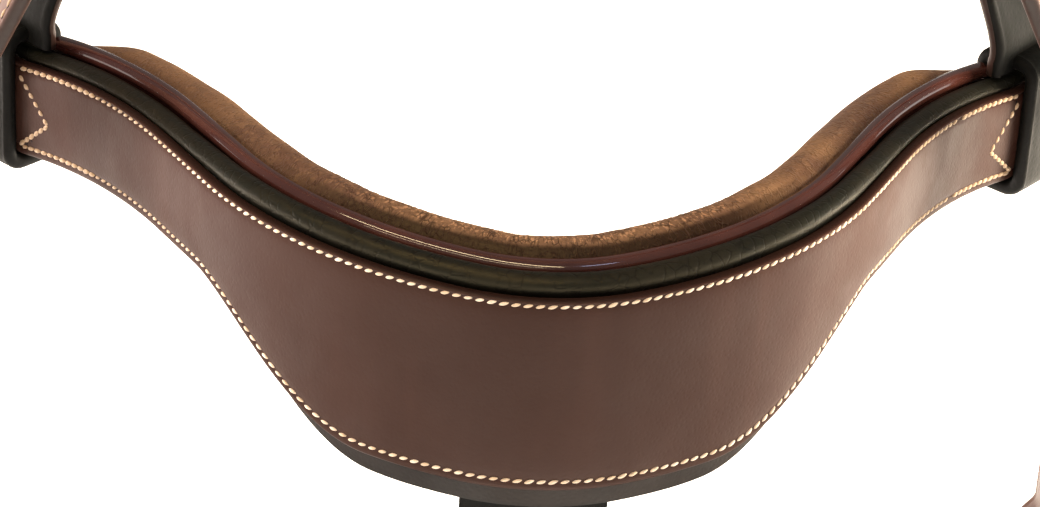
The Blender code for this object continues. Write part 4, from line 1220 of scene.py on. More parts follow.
@dataclass
class Buckle:
    """A wire buckle on one strap's end, with the billet of the other strap passing through it.

    Its frame has local X along the strap towards the billet's own strap, local Y outwards and local Z across.
    """

    prefix: str
    plane: Matrix
    bar: Point
    towards: Point
    outwards: Point
    side_play: float = 0.0008
    wire_corner: float = 0.003
    bend_corner: float = 0.005
    seat_from: float = 0.012
    chape_wall: float = 0.00095
    turn_back: float = 0.024
    pared_before: float = 0.0115
    pared_over: float = 0.007
    pared_tip: float = 0.008
    slit_before: float = 0.0045
    spare_pitch: float = 0.020
    tongue_slit: float = 0.0098
    bar_slit: float = 0.0150
    tongue_overhang: float = 0.0028
    keeper_place: float = 0.020
    runner_place: float = 0.040

    def __post_init__(self) -> None:
        """Finds the buckle's place in the strap's plane and in space."""
        self.spot, self.ahead, self.outer = Vector(self.bar), Vector(self.towards), Vector(self.outwards)
        rotation = self.plane.to_3x3()
        along, out = (rotation @ Vector((*direction, 0)) for direction in (self.ahead, self.outer))
        self.frame = frame_of(self.plane @ Vector((*self.spot, 0)), along, out)

    def at(self, along: float, out: float, radius: float = 0.0) -> Corner:
        """A corner of a path in the strap's plane, from a place in the buckle."""
        return (*(self.spot + self.ahead * along + self.outer * out), radius)

    def billet_corners(self) -> list[Corner]:
        """The billet's way under the far bar, over the near bar and down along the strap.

        Returns:
            Its corners in the strap's plane.
        """
        bend_by = self.bend_corner
        return [
            self.at(FRAME_LENGTH - 0.001, -BILLET_UNDER, bend_by), self.at(0.0015, BILLET_OVER, bend_by),
            self.at(-0.004, BILLET_OVER, bend_by), self.at(-self.seat_from, BILLET_SEATED, bend_by),
            self.at(-TAIL, BILLET_SEATED),
        ]

    def chape_corners(self) -> list[Corner]:
        """The strap's own end, from beside the bar, round it and back along the strap's inner face.

        Returns:
            Its corners in the strap's plane.
        """
        wrap = BAR_RADIUS + self.chape_wall
        return [
            self.at(-0.011, 0, 0.006), self.at(-0.003, wrap, 0.003), self.at(wrap, wrap, 0.0024),
            self.at(wrap, -wrap, 0.0024), self.at(-self.turn_back, -wrap - 0.0001),
        ]

    def chape_strap(self, name: str, way: Way, look: Finish = BROWN, at_start: bool = False) -> Strap:
        """Cuts the strap that holds the buckle, pared and slit at the bar.

        Args:
            name: The strap's name.
            way: Its way.
            look: Its finish.
            at_start: True if the way starts with the chape, and does not end with it.

        Returns:
            The strap.
        """
        end, turn = way.length, way.length - self.turn_back
        near_bar = turn - self.pared_before
        skives = ((near_bar - self.pared_over, 1.0), (near_bar, 0.53),
                  (end - self.pared_tip, 0.5), (end, 0.2))
        slits = ((turn - self.slit_before, self.bar_slit),)
        if at_start:
            skives = tuple((end - place, share) for place, share in reversed(skives))
            slits = tuple((end - place, size) for place, size in slits)
        return Strap(name, way, look, skives=skives, slits=slits)

    def billet(self, name: str, way: Way, above: int, look: Finish = BROWN) -> Strap:
        """Cuts the billet, pointed at its tip and punched to suit the buckle.

        Args:
            name: The billet's name.
            way: Its way.
            above: How many spare holes there are before the buckle. One is after it.
            look: Its finish.

        Returns:
            The billet, with its round holes and the slit where the tongue goes through.
        """
        middle = FRAME_LENGTH / 2
        places = [(middle + self.spare_pitch * k, -BILLET_UNDER) for k in range(1, above + 1)]
        places.append((middle - self.spare_pitch * 2, BILLET_SEATED))
        holes = tuple(way.along_of(self.frame @ Vector((*place, 0))) for place in places)
        slit = (way.along_of(self.frame @ Vector((0.0066, EYE_RADIUS, 0))), self.tongue_slit)
        return Strap(name, way, look, tip=True, holes=holes, slits=(slit,))

    def make(self, bench: Bench, body: str, look: Finish = BROWN) -> None:
        """Builds the wire, the tongue, the fixed keeper and the sliding runner.

        Args:
            bench: Where the pieces are finished.
            body: The body that the buckle's strap moves with.
            look: The keepers' leather.
        """
        side = STRAP_WIDTH / 2 + self.side_play + BAR_RADIUS
        level = self.frame @ Matrix.Rotation(-math.pi / 2, 4, "X")
        ring = ring_way(level, (0, -side), (FRAME_LENGTH, side), self.wire_corner)
        make_wire(bench, f"{self.prefix}_buckle_frame", ring, BAR_RADIUS, body, True)
        curl = [math.radians(angle) for angle in range(340, 89, -10)]
        rest = BAR_RADIUS + 0.0002 + TONGUE_RADIUS
        path = [(EYE_RADIUS * math.cos(a), EYE_RADIUS * math.sin(a), 0.0) for a in curl]
        path += [(FRAME_LENGTH - 0.002, rest + 0.0003, 0.004),
                 (FRAME_LENGTH + self.tongue_overhang, rest - 0.0004, 0.0)]
        tongue = flat_way(self.frame, path)
        name = f"{self.prefix}_buckle_tongue"
        make_wire(bench, name, tongue, TONGUE_RADIUS, f"{self.prefix}_tongue", False)
        grow = GAP + KEEPER_THICK / 2
        low = (-STRAP_THICK / 2 - grow, -STRAP_WIDTH / 2 - grow)
        high = (BILLET_SEATED + STRAP_THICK / 2 + grow, STRAP_WIDTH / 2 + grow)
        turned = self.frame.to_3x3()
        keepers = (("keeper", self.keeper_place, body),
                   ("runner", self.runner_place, f"{self.prefix}_sliding_runner"))
        for name, place, rides in keepers:
            centre = self.frame @ Vector((-place, 0, 0))
            ring = ring_way(frame_of(centre, turned @ Y_AXIS, turned @ Z_AXIS), low, high, KEEPER_CORNER)
            node = f"{self.prefix}_{name}"
            make_band(bench, f"{node}_band", ring, KEEPER_LENGTH, KEEPER_THICK, look, rides, [node])


def over_poll(x: float, end_z: float) -> list[Corner]:
    """Lays a strap over the poll.

    Args:
        x: How far from the middle it hangs.
        end_z: The height of its two ends.

    Returns:
        Its corners, from the right side to the left.
    """
    top = x - POLL_HALF_WIDTH
    corner = POLL_CORNER + top
    return [(-x, end_z, 0), (-x, top, corner), (x, top, corner), (x, end_z, 0)]


def lumpy(size: float, depth: float, seed: float) -> Callable[[Vector, float], float]:
    """The unevenness of stuffing under leather.

    Args:
        size: The size of the lumps.
        depth: How far they rise and sink.
        seed: Which lumps.

    Returns:
        The move of a point from its flat place and its distance round the section.
    """
    def move(at: Vector, around: float) -> float:
        """The rise at one place."""
        return depth * noise.noise(Vector((at.x / size, around / size, seed)))
    return move


@dataclass
class PadMaker:
    """A long stuffed pad with drawn-in edges and tapered ends, along a way."""

    name: str
    way: Way
    width: float
    thick: float
    fill: float
    end_length: float = 0.012
    end_thick: float = 0.45
    end_width: float = 0.72
    lump: float = 0.00035

    def leather(self) -> BMesh:
        """Stuffs and bends the pad.

        Returns:
            The pad's mesh.
        """
        section = pad_section(self.width, self.thick)
        bm = extruded(section, self.way.length, 0.0012)
        stuffing, wrinkles = lumpy(0.012, self.lump, 2.0), lumpy(0.0022, self.lump * 0.35, 5.0)
        ruffle(bm, lambda at, around: stuffing(at, around) + wrinkles(at, around))
        stamp(bm, lambda at: 0.01, rolled=True)
        for vert in bm.verts:
            left = min(vert.co.x, self.way.length - vert.co.x) / self.end_length
            share = math.sin(min(max(left, 0), 1) * math.pi / 2)
            vert.co.y *= self.end_width + (1 - self.end_width) * share
            vert.co.z *= self.end_thick + (1 - self.end_thick) * share
        bend(bm, self.way.place)
        return bm

    def make(self, bench: Bench, rides: str, replaces: Sequence[str]) -> None:
        """Builds the pad.

        Args:
            bench: Where the pieces are finished.
            rides: The body that the pad moves with.
            replaces: The frame's nodes that it stands for.
        """
        bench.finish(self.name, self.leather(), [PADDING], rides, replaces, self.fill)


@dataclass
class Headpiece(Group):
    """The crown leather over the poll, its pad, and the noseband's strap between them."""

    pad_end_z: float = -0.043
    split_z: float = -0.034
    overhang: float = 0.004
    seam_inset: float = 0.0029
    seam_stop: float = 0.004
    slit_past: float = 0.02

    def make(self) -> None:
        """Builds the headpiece's pieces."""
        front, back = CHEEK_LANE - STRAP_WIDTH / 2, THROAT_LANE + STRAP_WIDTH / 2
        width, crown = back - front, side_frame(1, (front + back) / 2)
        way = flat_way(crown, over_poll(HEADPIECE_X, JOIN_Z))
        self.make_crown(way, width)
        pad_way = flat_way(crown, over_poll(POLL_HALF_WIDTH + PAD_THICK / 2, self.pad_end_z))
        pad = PadMaker("poll_pad", pad_way, width + 2 * self.overhang, PAD_THICK, 0.7)
        pad.make(self.bench, "bridle", ["headpiece_pad"])
        strap_way = flat_way(side_frame(1, HANGER_LANE), over_poll(HANGER_X, JOIN_Z))
        Strap("crown_strap", strap_way, BLACK).make(self.bench, "bridle", ["noseband_crown_strap"])

    def make_crown(self, way: Way, width: float) -> None:
        """The wide crown leather, slit at both ends for the cheekpieces and the throatlash.

        Args:
            way: The crown's way over the poll.
            width: The crown's width.
        """
        split = self.split_z - JOIN_Z
        gap = width / 2 - STRAP_WIDTH
        bm = extruded(strap_section(width, STRAP_THICK), way.length)
        bm = pierced(bm, [
            punch(-self.slit_past, split, gap), punch(way.length - split, way.length + self.slit_past, gap),
        ])
        half = width / 2

        def edge_of(at: Vector) -> float:
            """The distance from the outer edges, or from the slit in a branch."""
            in_branch = min(at.x, way.length - at.x) < split
            return min(half - abs(at.y), abs(at.y) - gap) if in_branch else half - abs(at.y)

        stamp(bm, edge_of)
        bend(bm, way.place)
        self.bench.finish("crown", bm, [BROWN], "bridle", ["headpiece"])
        sewing = bmesh.new()
        top = STRAP_THICK / 2
        for sign in (1, -1):
            outer = sign * (half - self.seam_inset)
            STRAP_SEAM.sew(sewing, way.place, [Vector((0, outer, top)), Vector((way.length, outer, top))])
            inner = sign * (gap + self.seam_inset)
            stop = split - self.seam_stop
            for start, end in ((0, stop), (way.length - stop, way.length)):
                STRAP_SEAM.sew(sewing, way.place, [Vector((start, inner, top)), Vector((end, inner, top))])
        self.bench.finish("crown_stitching", sewing, [THREAD, NEEDLE_HOLE_SHADE], "bridle")


@dataclass
class Browband(Group):
    """The browband with its lining pad and the loops that slide on the headpiece's straps."""

    height: float = -0.060
    width: float = 0.020
    front: float = -0.112
    corner: float = 0.055
    dip: float = 0.014
    pad_thick: float = 0.006
    loop_thick: float = 0.0022
    start: float = 0.012

    def corners(self, x: float, y: float, start: float, corner: float) -> list[Corner]:
        """The browband's path round the forehead.

        Args:
            x: How far from the middle its sides are.
            y: Where its front is.
            start: Where its two ends are.
            corner: The radius where its sides meet its front.

        Returns:
            Its corners, from the left side to the right.
        """
        return [
            (x, start, 0), (x, y + self.dip, corner), (0, y, self.corner * 2),
            (-x, y + self.dip, corner), (-x, start, 0),
        ]

    def make(self) -> None:
        """Builds the browband's pieces."""
        front_lane, back_lane = CHEEK_LANE - STRAP_WIDTH / 2, THROAT_LANE + STRAP_WIDTH / 2
        grow = GAP + self.loop_thick / 2
        low = HANGER_X - STRAP_THICK / 2 - grow
        high = HEADPIECE_X + STRAP_THICK / 2 + grow
        level = frame_of(Z_AXIS * self.height, X_AXIS, Y_AXIS)
        for side in Side:
            near, far = sorted((side.value * low, side.value * high))
            ring = ring_way(level, (near, front_lane - grow), (far, back_lane + grow), KEEPER_CORNER)
            make_band(self.bench, f"brow_loop_{side.word}", ring, self.width, self.loop_thick, BROWN,
                      "browband", [f"browband_loop_{side.word}"], 0.0019)
        x = high + self.loop_thick / 2 + GAP + STRAP_THICK / 2
        way = flat_way(level, self.corners(x, self.front, self.start, self.corner))
        strap = Strap("brow_strap", way, width=self.width)
        strap.seams = strap.edge_seams(0.001, way.length - 0.001)
        strap.make(self.bench, "browband", ["browband"])
        inset = STRAP_THICK / 2 + GAP + self.pad_thick / 2
        start = front_lane - grow * 2 - EDGE
        pad_corners = self.corners(x - inset, self.front + inset, start, self.corner - inset)
        way = flat_way(level, pad_corners)
        pad = PadMaker("brow_pad", way, self.width, self.pad_thick, 0.7, lump=0.00025)
        pad.make(self.bench, "browband", ["browband_pad"])


@dataclass
class Cheekpiece(Group):
    """One cheekpiece: billet, buckle, strap with its bit loop, and the hook stud that closes the loop."""

    side: Side
    bar_z: float = -0.140
    flare_top_z: float = -0.290
    flare_low_z: float = -0.3543
    low_x: float = 0.1115
    end_z: float = -0.450
    fillet: float = 0.030
    loop_inside: float = 0.010
    loop_corner: float = 0.002
    loop_height: float = 0.012
    turn_back: float = 0.050
    stud_height: float = 0.040
    stud_radius: float = 0.0035
    stud_pin: float = 0.0015
    stud_rise: float = 0.36
    hook_size: Colour = (0.007, 0.012, 0.001)
    hook_shift: float = 0.0025
    hook_corner: float = 0.003
    seam_from: float = 0.020
    seam_to: float = 0.040

    @property
    def prefix(self) -> str:
        """The start of this side's node names."""
        return f"cheek_{self.side.word}"

    @property
    def body(self) -> str:
        """The body that the cheekpiece moves with."""
        return f"cheekpiece_{self.side.word}"

    def strap_corners(self, buckle: Buckle, x: float) -> list[Corner]:
        """The strap's path in the cheek's plane.

        Args:
            buckle: The buckle at its top.
            x: Where it hangs at the buckle.

        Returns:
            Its corners, from the tip of its turned-back end up to its chape.
        """
        layer = STRAP_THICK + GAP
        inside, corner = self.loop_inside + STRAP_THICK, self.loop_corner + STRAP_THICK / 2
        loop_top = self.end_z + self.loop_height
        return [
            (self.low_x - layer, self.end_z + self.turn_back + self.loop_height, 0),
            (self.low_x - layer, loop_top + self.loop_height, corner),
            (self.low_x - inside, loop_top, corner), (self.low_x - inside, self.end_z, corner),
            (self.low_x, self.end_z, corner), (self.low_x, self.flare_low_z, self.fillet),
            (x, self.flare_top_z, self.fillet), *buckle.chape_corners(),
        ]

    def make(self) -> None:
        """Builds the cheekpiece's pieces."""
        plane = side_frame(self.side.value, CHEEK_LANE)
        x = HEADPIECE_X + BILLET_UNDER
        buckle = Buckle(self.prefix, plane, (x, self.bar_z), (0, 1), (1, 0))
        billet_way = flat_way(plane, [(HEADPIECE_X, JOIN_Z, 0), *buckle.billet_corners()])
        billet = buckle.billet(f"{self.prefix}_billet_leather", billet_way, 2)
        crossing = drop_crossing(self.body, HEADPIECE_X * self.side.value, CHEEK_LANE)
        billet.make(self.bench, crossing, [f"{self.prefix}_billet"])
        way = flat_way(plane, self.strap_corners(buckle, x), -1)
        strap = buckle.chape_strap(f"{self.prefix}_leather", way)
        strap.skives = ((0, 0.3), (0.006, 1.0)) + strap.skives
        seam_start = way.along_of(plane @ Vector((self.low_x, self.end_z + self.seam_from, 0)))
        strap.seams = strap.edge_seams(seam_start, way.length - self.seam_to)
        strap.make(self.bench, self.body, [f"{self.prefix}_strap"])
        buckle.make(self.bench, self.body)
        self.make_stud(plane, plane @ Vector((self.low_x, self.end_z + self.stud_height, 0)))

    def make_stud(self, plane: Matrix, where: Vector) -> None:
        """The stud through both layers above the bit loop, with its flat hook inside.

        Args:
            plane: The cheekpiece's plane.
            where: The middle of the outer layer at the stud.
        """
        turned = plane.to_3x3()
        outer = STRAP_THICK / 2
        bm = bmesh.new()
        bmesh.ops.create_uvsphere(bm, u_segments=24, v_segments=12, radius=self.stud_radius)
        bmesh.ops.bisect_plane(bm, geom=bm.verts[:] + bm.edges[:] + bm.faces[:], plane_co=(0, 0, 0),
                               plane_no=(0, 0, 1), clear_inner=True)
        bmesh.ops.remove_doubles(bm, verts=bm.verts, dist=WELD)
        bmesh.ops.scale(bm, verts=bm.verts, vec=(1, 1, self.stud_rise))
        bmesh.ops.translate(bm, verts=bm.verts, vec=(0, 0, outer + 0.0002))
        bmesh.ops.holes_fill(bm, edges=[e for e in bm.edges if e.is_boundary])
        depth = 2 * STRAP_THICK + 3 * GAP
        bmesh.ops.create_cone(bm, cap_ends=True, segments=16, radius1=self.stud_pin, radius2=self.stud_pin,
                              depth=depth, matrix=Matrix.Translation((0, 0, outer + 0.0004 - depth / 2)))
        hook = bmesh.ops.create_cube(bm, size=1)["verts"]
        inner = -(STRAP_THICK * 1.5 + 2 * GAP)
        bmesh.ops.scale(bm, verts=hook, vec=self.hook_size)
        bmesh.ops.translate(bm, verts=hook, vec=(0, self.hook_shift, inner - self.hook_size[2] / 2))
        corners = [e for e in bm.edges if e.verts[0] in hook and e.verts[1] in hook
                   and abs(e.verts[0].co.z - e.verts[1].co.z) > self.hook_size[2] / 2]
        bmesh.ops.bevel(bm, geom=corners, offset=self.hook_corner, segments=5, affect="EDGES", profile=0.5,
                        material=-1)
        stamp(bm, lambda at: 1.0)
        frame = Matrix((turned @ Z_AXIS, turned @ Y_AXIS, turned @ X_AXIS)).transposed().to_4x4()
        bm.transform(Matrix.Translation(where) @ frame)
        node = f"{self.prefix}_hook_stud"
        self.bench.finish(f"{node}_metal", bm, [NICKEL], self.body, [node])


@dataclass
class Throatlash(Group):
    """The throatlash: one long strap from the right side, round the throat, to its buckle on the left."""

    lean: float = math.radians(28)
    bar: float = 0.046
    drop: float = 0.190
    corner: float = 0.062
    turn_radius: float = 0.040
    turn_steps: int = 8

    def hanging(self, sign: int, plane: Matrix) -> tuple[list[Station], float]:
        """The strap's top, which turns edgewise from the headpiece's line into the leaning plane.

        Args:
            sign: The side, as the sign of X.
            plane: The leaning plane. Not used.

        Returns:
            The stations of the turn, and how far down the plane it ends.
        """
        reach = self.turn_radius * math.tan(self.lean / 2)
        x = HEADPIECE_X * sign
        stations = [Station(Vector((x, THROAT_LANE, JOIN_Z)), X_AXIS * sign, -Y_AXIS)]
        centre = Vector((x, THROAT_LANE + self.turn_radius, BEND_Z + reach))
        for k in range(self.turn_steps + 1):
            turn = self.lean * k / self.turn_steps
            spoke = Vector((0, -math.cos(turn), -math.sin(turn)))
            stations.append(Station(centre + spoke * self.turn_radius, X_AXIS * sign, spoke))
        return stations, reach

    def make(self) -> None:
        """Builds the throatlash's pieces."""
        up = Vector((0, -math.sin(self.lean), math.cos(self.lean)))
        plane = frame_of(Vector((0, THROAT_LANE, BEND_Z)), X_AXIS, up)
        x = HEADPIECE_X + BILLET_UNDER
        buckle = Buckle("throatlash", plane, (x, -self.bar), (0, 1), (1, 0))
        top, reach = self.hanging(1, plane)
        billet_way = Way(top + flat_stations(plane, [(HEADPIECE_X, -reach, 0), *buckle.billet_corners()]))
        billet = buckle.billet("throat_billet_leather", billet_way, 0)
        billet.make(self.bench, drop_crossing("throatlash", HEADPIECE_X, THROAT_LANE), ["throatlash_billet"])
        top, reach = self.hanging(-1, plane)
        corners = [(-HEADPIECE_X, -reach, 0), (-HEADPIECE_X, -self.drop, self.corner),
                   (x, -self.drop, self.corner), *buckle.chape_corners()]
        strap = buckle.chape_strap("throat_strap_leather", Way(top + flat_stations(plane, corners, -1)))
        strap.make(self.bench, drop_crossing("throatlash", -HEADPIECE_X, THROAT_LANE), ["throatlash_strap"])
        buckle.make(self.bench, "throatlash")


@dataclass(frozen=True)
class NoseCurve:
    """The nosepiece's line in plan, each arc as length and turn, and the fall of its lower seam."""

    top_z: float = -0.330
    front: float = -0.1035
    arcs: tuple[Point, ...] = ((0.015, 21), (0.060, 41.5), (0.020, 2), (0.051, -17.5))
    end: float = 0.144
    tab_end: float = 0.1625
    end_drop: float = 0.010
    gap_middle: float = 0.0346
    gap_end: float = 0.0165
    fall_start: float = 0.032
    fall_end: float = 0.080

    def plan(self, s: float) -> tuple[Vector, float]:
        """Follows the outer face in plan.

        Args:
            s: The distance from the middle along the face.

        Returns:
            The place and the heading there.
        """
        place, heading, left = Vector((0, self.front)), 0.0, abs(s)
        for k, (length, turn) in enumerate(self.arcs):
            run = left if k == len(self.arcs) - 1 else min(left, length)
            chord = min(run, length)
            bent = math.radians(turn) * chord / length
            if abs(bent) > 0:
                chord *= math.sin(bent / 2) / (bent / 2)
            place += chord * Vector((math.cos(heading + bent / 2), math.sin(heading + bent / 2)))
            heading += bent
            place += max(run - length, 0) * Vector((math.cos(heading), math.sin(heading)))
            left -= run
        return (Vector((-place.x, place.y)), -heading) if s < 0 else (place, heading)

    def place(self, flat: Vector) -> Vector:
        """Bends one flat point.

        Args:
            flat: X along, Y above the upper seam and Z out of the face.

        Returns:
            The bent place.
        """
        spot, heading = self.plan(flat.x)
        inward = Vector((-math.sin(heading), math.cos(heading)))
        drop = self.end_drop * (min(abs(flat.x), self.end) / self.end) ** 3
        return Vector((*(spot - inward * flat.z), self.top_z - drop + flat.y))

    def gap(self, s: float) -> float:
        """The height between the two seams, at a distance from the middle."""
        share = min(max((abs(s) - self.fall_start) / (self.fall_end - self.fall_start), 0), 1)
        return self.gap_end + (self.gap_middle - self.gap_end) * (1 + math.cos(math.pi * share)) / 2

    def fall(self, flat: Vector) -> Vector:
        """Draws the middle section's height in to what the nosepiece has at this place.

        Args:
            flat: A flat point of the middle section.

        Returns:
            The flat point that it moves to.
        """
        gap = self.gap(flat.x)
        if flat.y >= 0:
            return flat
        between = flat.y > -self.gap_middle
        drawn = flat.y * gap / self.gap_middle if between else flat.y + self.gap_middle - gap
        return Vector((flat.x, drawn, flat.z))

    def lay(self, flat: Vector) -> Vector:
        """The bent place of a point of the middle section."""
        return self.place(self.fall(flat))


@dataclass
class Nosepiece(Group):
    """The shaped nosepiece: panel, base with its black welt, patent piping and padded lining."""

    curve: NoseCurve = NoseCurve()
    panel_thick: float = 0.002
    top_margin: float = 0.001
    low_margin: float = 0.002
    base_thick: float = 0.0014
    base_margin: float = 0.0067
    side_margin: float = 0.0025
    taper_start: float = 0.024
    taper_end: float = 0.082
    welt_radius: float = 0.0021
    welt_depth: float = 0.0039
    welt_height: float = 0.0022
    roll_start: float = 215
    roll_turn: float = 250
    roll_steps: int = 20
    piping_radius: float = 0.0017
    piping_depth: float = 0.0078
    piping_height: float = 0.0030
    pipe_start: float = -65
    pipe_turn: float = 310
    pipe_steps: int = 19
    lining_front: float = 0.0085
    lining_back: float = 0.0170
    lining_end: float = 0.142
    crown_base: float = 0.0015
    crown_rise: float = 0.0042
    crown_steps: int = 18
    fold_size: Point = (0.0014, 0.0055)
    fold_depth: float = 0.00020
    fold_patch: float = 0.02
    ends_from: float = 0.016
    end_depth: float = 0.42
    end_height: float = 0.3
    lowered_by: float = 0.42
    lowered_from: float = 0.070
    lowered_over: float = 0.045
    lining_margin: float = 0.0030
    seam_dip: float = 0.00028
    tail_notch: float = 0.0090
    rope_from: float = 0.120
    tail_from: float = -0.101
    tail_run: float = 0.011
    tail_height: float = 0.0030
    tail_depth: float = 0.0097
    filler_front: float = 0.0038
    filler_back: float = 0.0083
    filler_drop: float = 0.0016
    flange_half: float = 0.0004
    flange_low: float = -0.007
    seam_steps: int = 144
    welt_slimming: float = 0.36
    slim_start: float = 0.055
    slim_run: float = 0.050

    def make(self) -> None:
        """Builds the nosepiece's layers, from the panel inwards."""
        self.make_panel()
        self.make_base()
        self.make_filler()
        self.make_piping()
        self.make_lining()
        self.make_seams()

    def drawn(self, section: Sequence[Point], end: float, step: float) -> BMesh:
        """Draws a layer's middle section out over its whole length.

        Args:
            section: The section, as (height, depth).
            end: How far from the middle the layer ends.
            step: The distance between its rows.

        Returns:
            The flat layer.
        """
        bm = extruded(section, 2 * end, step)
        bmesh.ops.translate(bm, verts=bm.verts, vec=(-end, 0, 0))
        return bm

    def panel_section(self) -> list[Point]:
        """Lays out the panel: soft edges, a dip under each seam and a slight belly between.

        Returns:
            The section, as (height, depth).
        """
        low, top, back = -self.curve.gap_middle - self.low_margin, self.top_margin, -self.panel_thick
        low_seam, dip = -self.curve.gap_middle, self.seam_dip
        upper = [(top, back + 0.0005), (top, -0.0008), (top - 0.0001, -0.0003), (top - 0.0004, -0.00005),
                 (0.0003, -dip * 0.6), (0.0, -dip), (-0.0004, -dip * 0.6), (-0.0010, 0.0), (-0.0025, 0.00018)]
        rows = 9
        middle = [(-0.0025 + (low_seam + 0.005) * k / rows, 0.0002 + 0.0002 * math.sin(math.pi * k / rows))
                  for k in range(1, rows)]
        lower = [(low_seam + 0.0025, 0.00018), (low_seam + 0.0010, 0.0), (low_seam + 0.0004, -dip * 0.6),
                 (low_seam, -dip), (low_seam - 0.0004, -dip * 0.6), (low_seam - 0.0009, -0.00005),
                 (low + 0.0006, -0.0001), (low + 0.0002, -0.0004), (low, -0.0009), (low, back + 0.0004)]
        return [(-0.017, back)] + [(top - 0.0003, back)] + upper + middle + lower + [(low + 0.0003, back)]

    def make_panel(self) -> None:
        """The brown outer leather."""
        bm = self.drawn(self.panel_section(), self.curve.tab_end, FINE_STEP)
        low, top = -self.curve.gap_middle - self.low_margin, self.top_margin
        stamp(bm, lambda at: min(top - at.y, at.y - low))
        bend(bm, self.curve.lay)
        self.bench.finish("nose_panel", bm, [PANEL], "noseband", ["nosepiece_panel"])

    def make_base(self) -> None:
        """The black base leather, rolled over a cord along its upper edge."""
        front, low = -self.panel_thick - GAP, -self.curve.gap_middle - self.base_margin
        back, foot = front - self.base_thick, self.welt_height - self.welt_radius
        roll = []
        for step in range(self.roll_steps + 1):
            turn = math.radians(self.roll_start - self.roll_turn * step / self.roll_steps)
            roll.append((self.welt_height + self.welt_radius * math.sin(turn),
                         -self.welt_depth - self.welt_radius * math.cos(turn)))
        rows = [(low + (foot - low) * k / 6, front) for k in range(1, 6)]
        section = [(foot, back), (low + EDGE, back), (low + 0.0001, back + 0.0003), (low, front - 0.0006),
                   (low + 0.0002, front - 0.0001), (low + 0.0006, front)] + rows + [(foot, front)] + roll
        bm = self.drawn(section, self.curve.tab_end, 0.0009)
        creases = lumpy(0.0013, 0.00004, 9.0)
        lumps = lumpy(0.012, 0.0001, 4.0)

        def puckered(at: Vector, around: float) -> float:
            """Creases on the roll only."""
            return (creases(at, around * 0.4) + lumps(at, around)) * smooth((at.y + 0.0006) / 0.0012)

        ruffle(bm, puckered)
        stamp(bm, lambda at: 0.01 if at.y > foot else max(at.y - low, 0.0), rolled=True)
        for face in bm.faces:
            face.material_index = int(face.calc_center_median().y < foot - 0.0002)

        def tapered(flat: Vector) -> Vector:
            """Narrows the rim below the panel, and the roll above it, towards the sides.

            Args:
                flat: A flat point of the base.

            Returns:
                Its bent place.
            """
            seam = -self.curve.gap_middle
            if flat.y > foot:
                slim = 1 - self.welt_slimming * smooth((abs(flat.x) - self.slim_start) / self.slim_run)
                flat = Vector((flat.x, foot + (flat.y - foot) * slim, flat.z))
            if flat.y < seam:
                away = smooth((abs(flat.x) - self.taper_start) / (self.taper_end - self.taper_start))
                kept = 1 - away * (1 - self.side_margin / self.base_margin)
                flat = Vector((flat.x, seam + (flat.y - seam) * kept, flat.z))
            return self.curve.lay(flat)

        bend(bm, tapered)
        self.bench.finish("nose_base", bm, [WELT, BASE], "noseband", ["nosepiece_base_welt"])

    def make_filler(self) -> None:
        """The black felt between the base and the padding, which closes the valley behind the welt."""
        front, back = -self.filler_front, -self.filler_back
        top, low = -self.filler_drop, -self.curve.gap_middle
        section = [(low, back), (low, front), (top - 0.0006, front), (top, front - 0.0006),
                   (top, back + 0.0006), (top - 0.0006, back)]
        bm = self.drawn(section, self.lining_end - 0.0015, 0.002)
        stamp(bm, lambda at: 0.01, rolled=True)
        bend(bm, self.curve.lay)
        self.bench.finish("nose_filler", bm, [BLACK], "noseband")

    def make_piping(self) -> None:
        """The patent piping and the flange that is sewn in below it."""
        half, low = self.flange_half, self.flange_low
        pipe = []
        for step in range(self.pipe_steps + 1):
            turn = math.radians(self.pipe_start + self.pipe_turn * step / self.pipe_steps)
            pipe.append((self.piping_height + self.piping_radius * math.sin(turn),
                         -self.piping_depth - self.piping_radius * math.cos(turn)))
        section = [(low, -self.piping_depth + half), (low, -self.piping_depth - half)] + pipe
        bm = self.drawn(section, self.lining_end, 0.0012)
        ruffle(bm, lumpy(0.016, 0.00007, 1.0))
        stamp(bm, lambda at: 0.01, rolled=True)
        bend(bm, self.curve.lay)
        self.bench.finish("nose_piping", bm, [PIPING], "noseband", ["nosepiece_piping"])

    def make_lining(self) -> None:
        """The padded lining: a soft crown along the top, a plump back and a drawn-in lower edge."""
        front, back = -self.lining_front - GAP, -self.lining_back
        base, low = self.crown_base, -self.curve.gap_middle - self.lining_margin
        middle, reach = (front + back) / 2, (front - back) / 2
        crown = []
        for step in range(self.crown_steps + 1):
            turn = math.pi * step / self.crown_steps
            crown.append((base + self.crown_rise * math.sin(turn) ** 0.9, middle - reach * math.cos(turn)))
        front_rows = [(base - 0.002 + (low - base + 0.003) * k / 5, front + 0.0002) for k in range(0, 6)]
        back_rows = [(low + (base - low) * share, back + sink) for share, sink in (
            (0.06, 0.0015), (0.16, 0.0006), (0.3, 0.0001), (0.45, 0), (0.6, 0), (0.75, 0), (0.9, 0))]
        foot = [(low, front - 0.0006), (low - 0.0005, middle + 0.001), (low - 0.0003, middle - 0.001),
                (low + 0.0006, back + 0.0022)]
        section = [(low + 0.002, front + 0.0002)] + foot + back_rows + list(reversed(crown)) + front_rows[:-1]
        bm = self.drawn(section, self.lining_end, 0.00055)
        lumps = lumpy(0.015, 0.00035, 6.0)

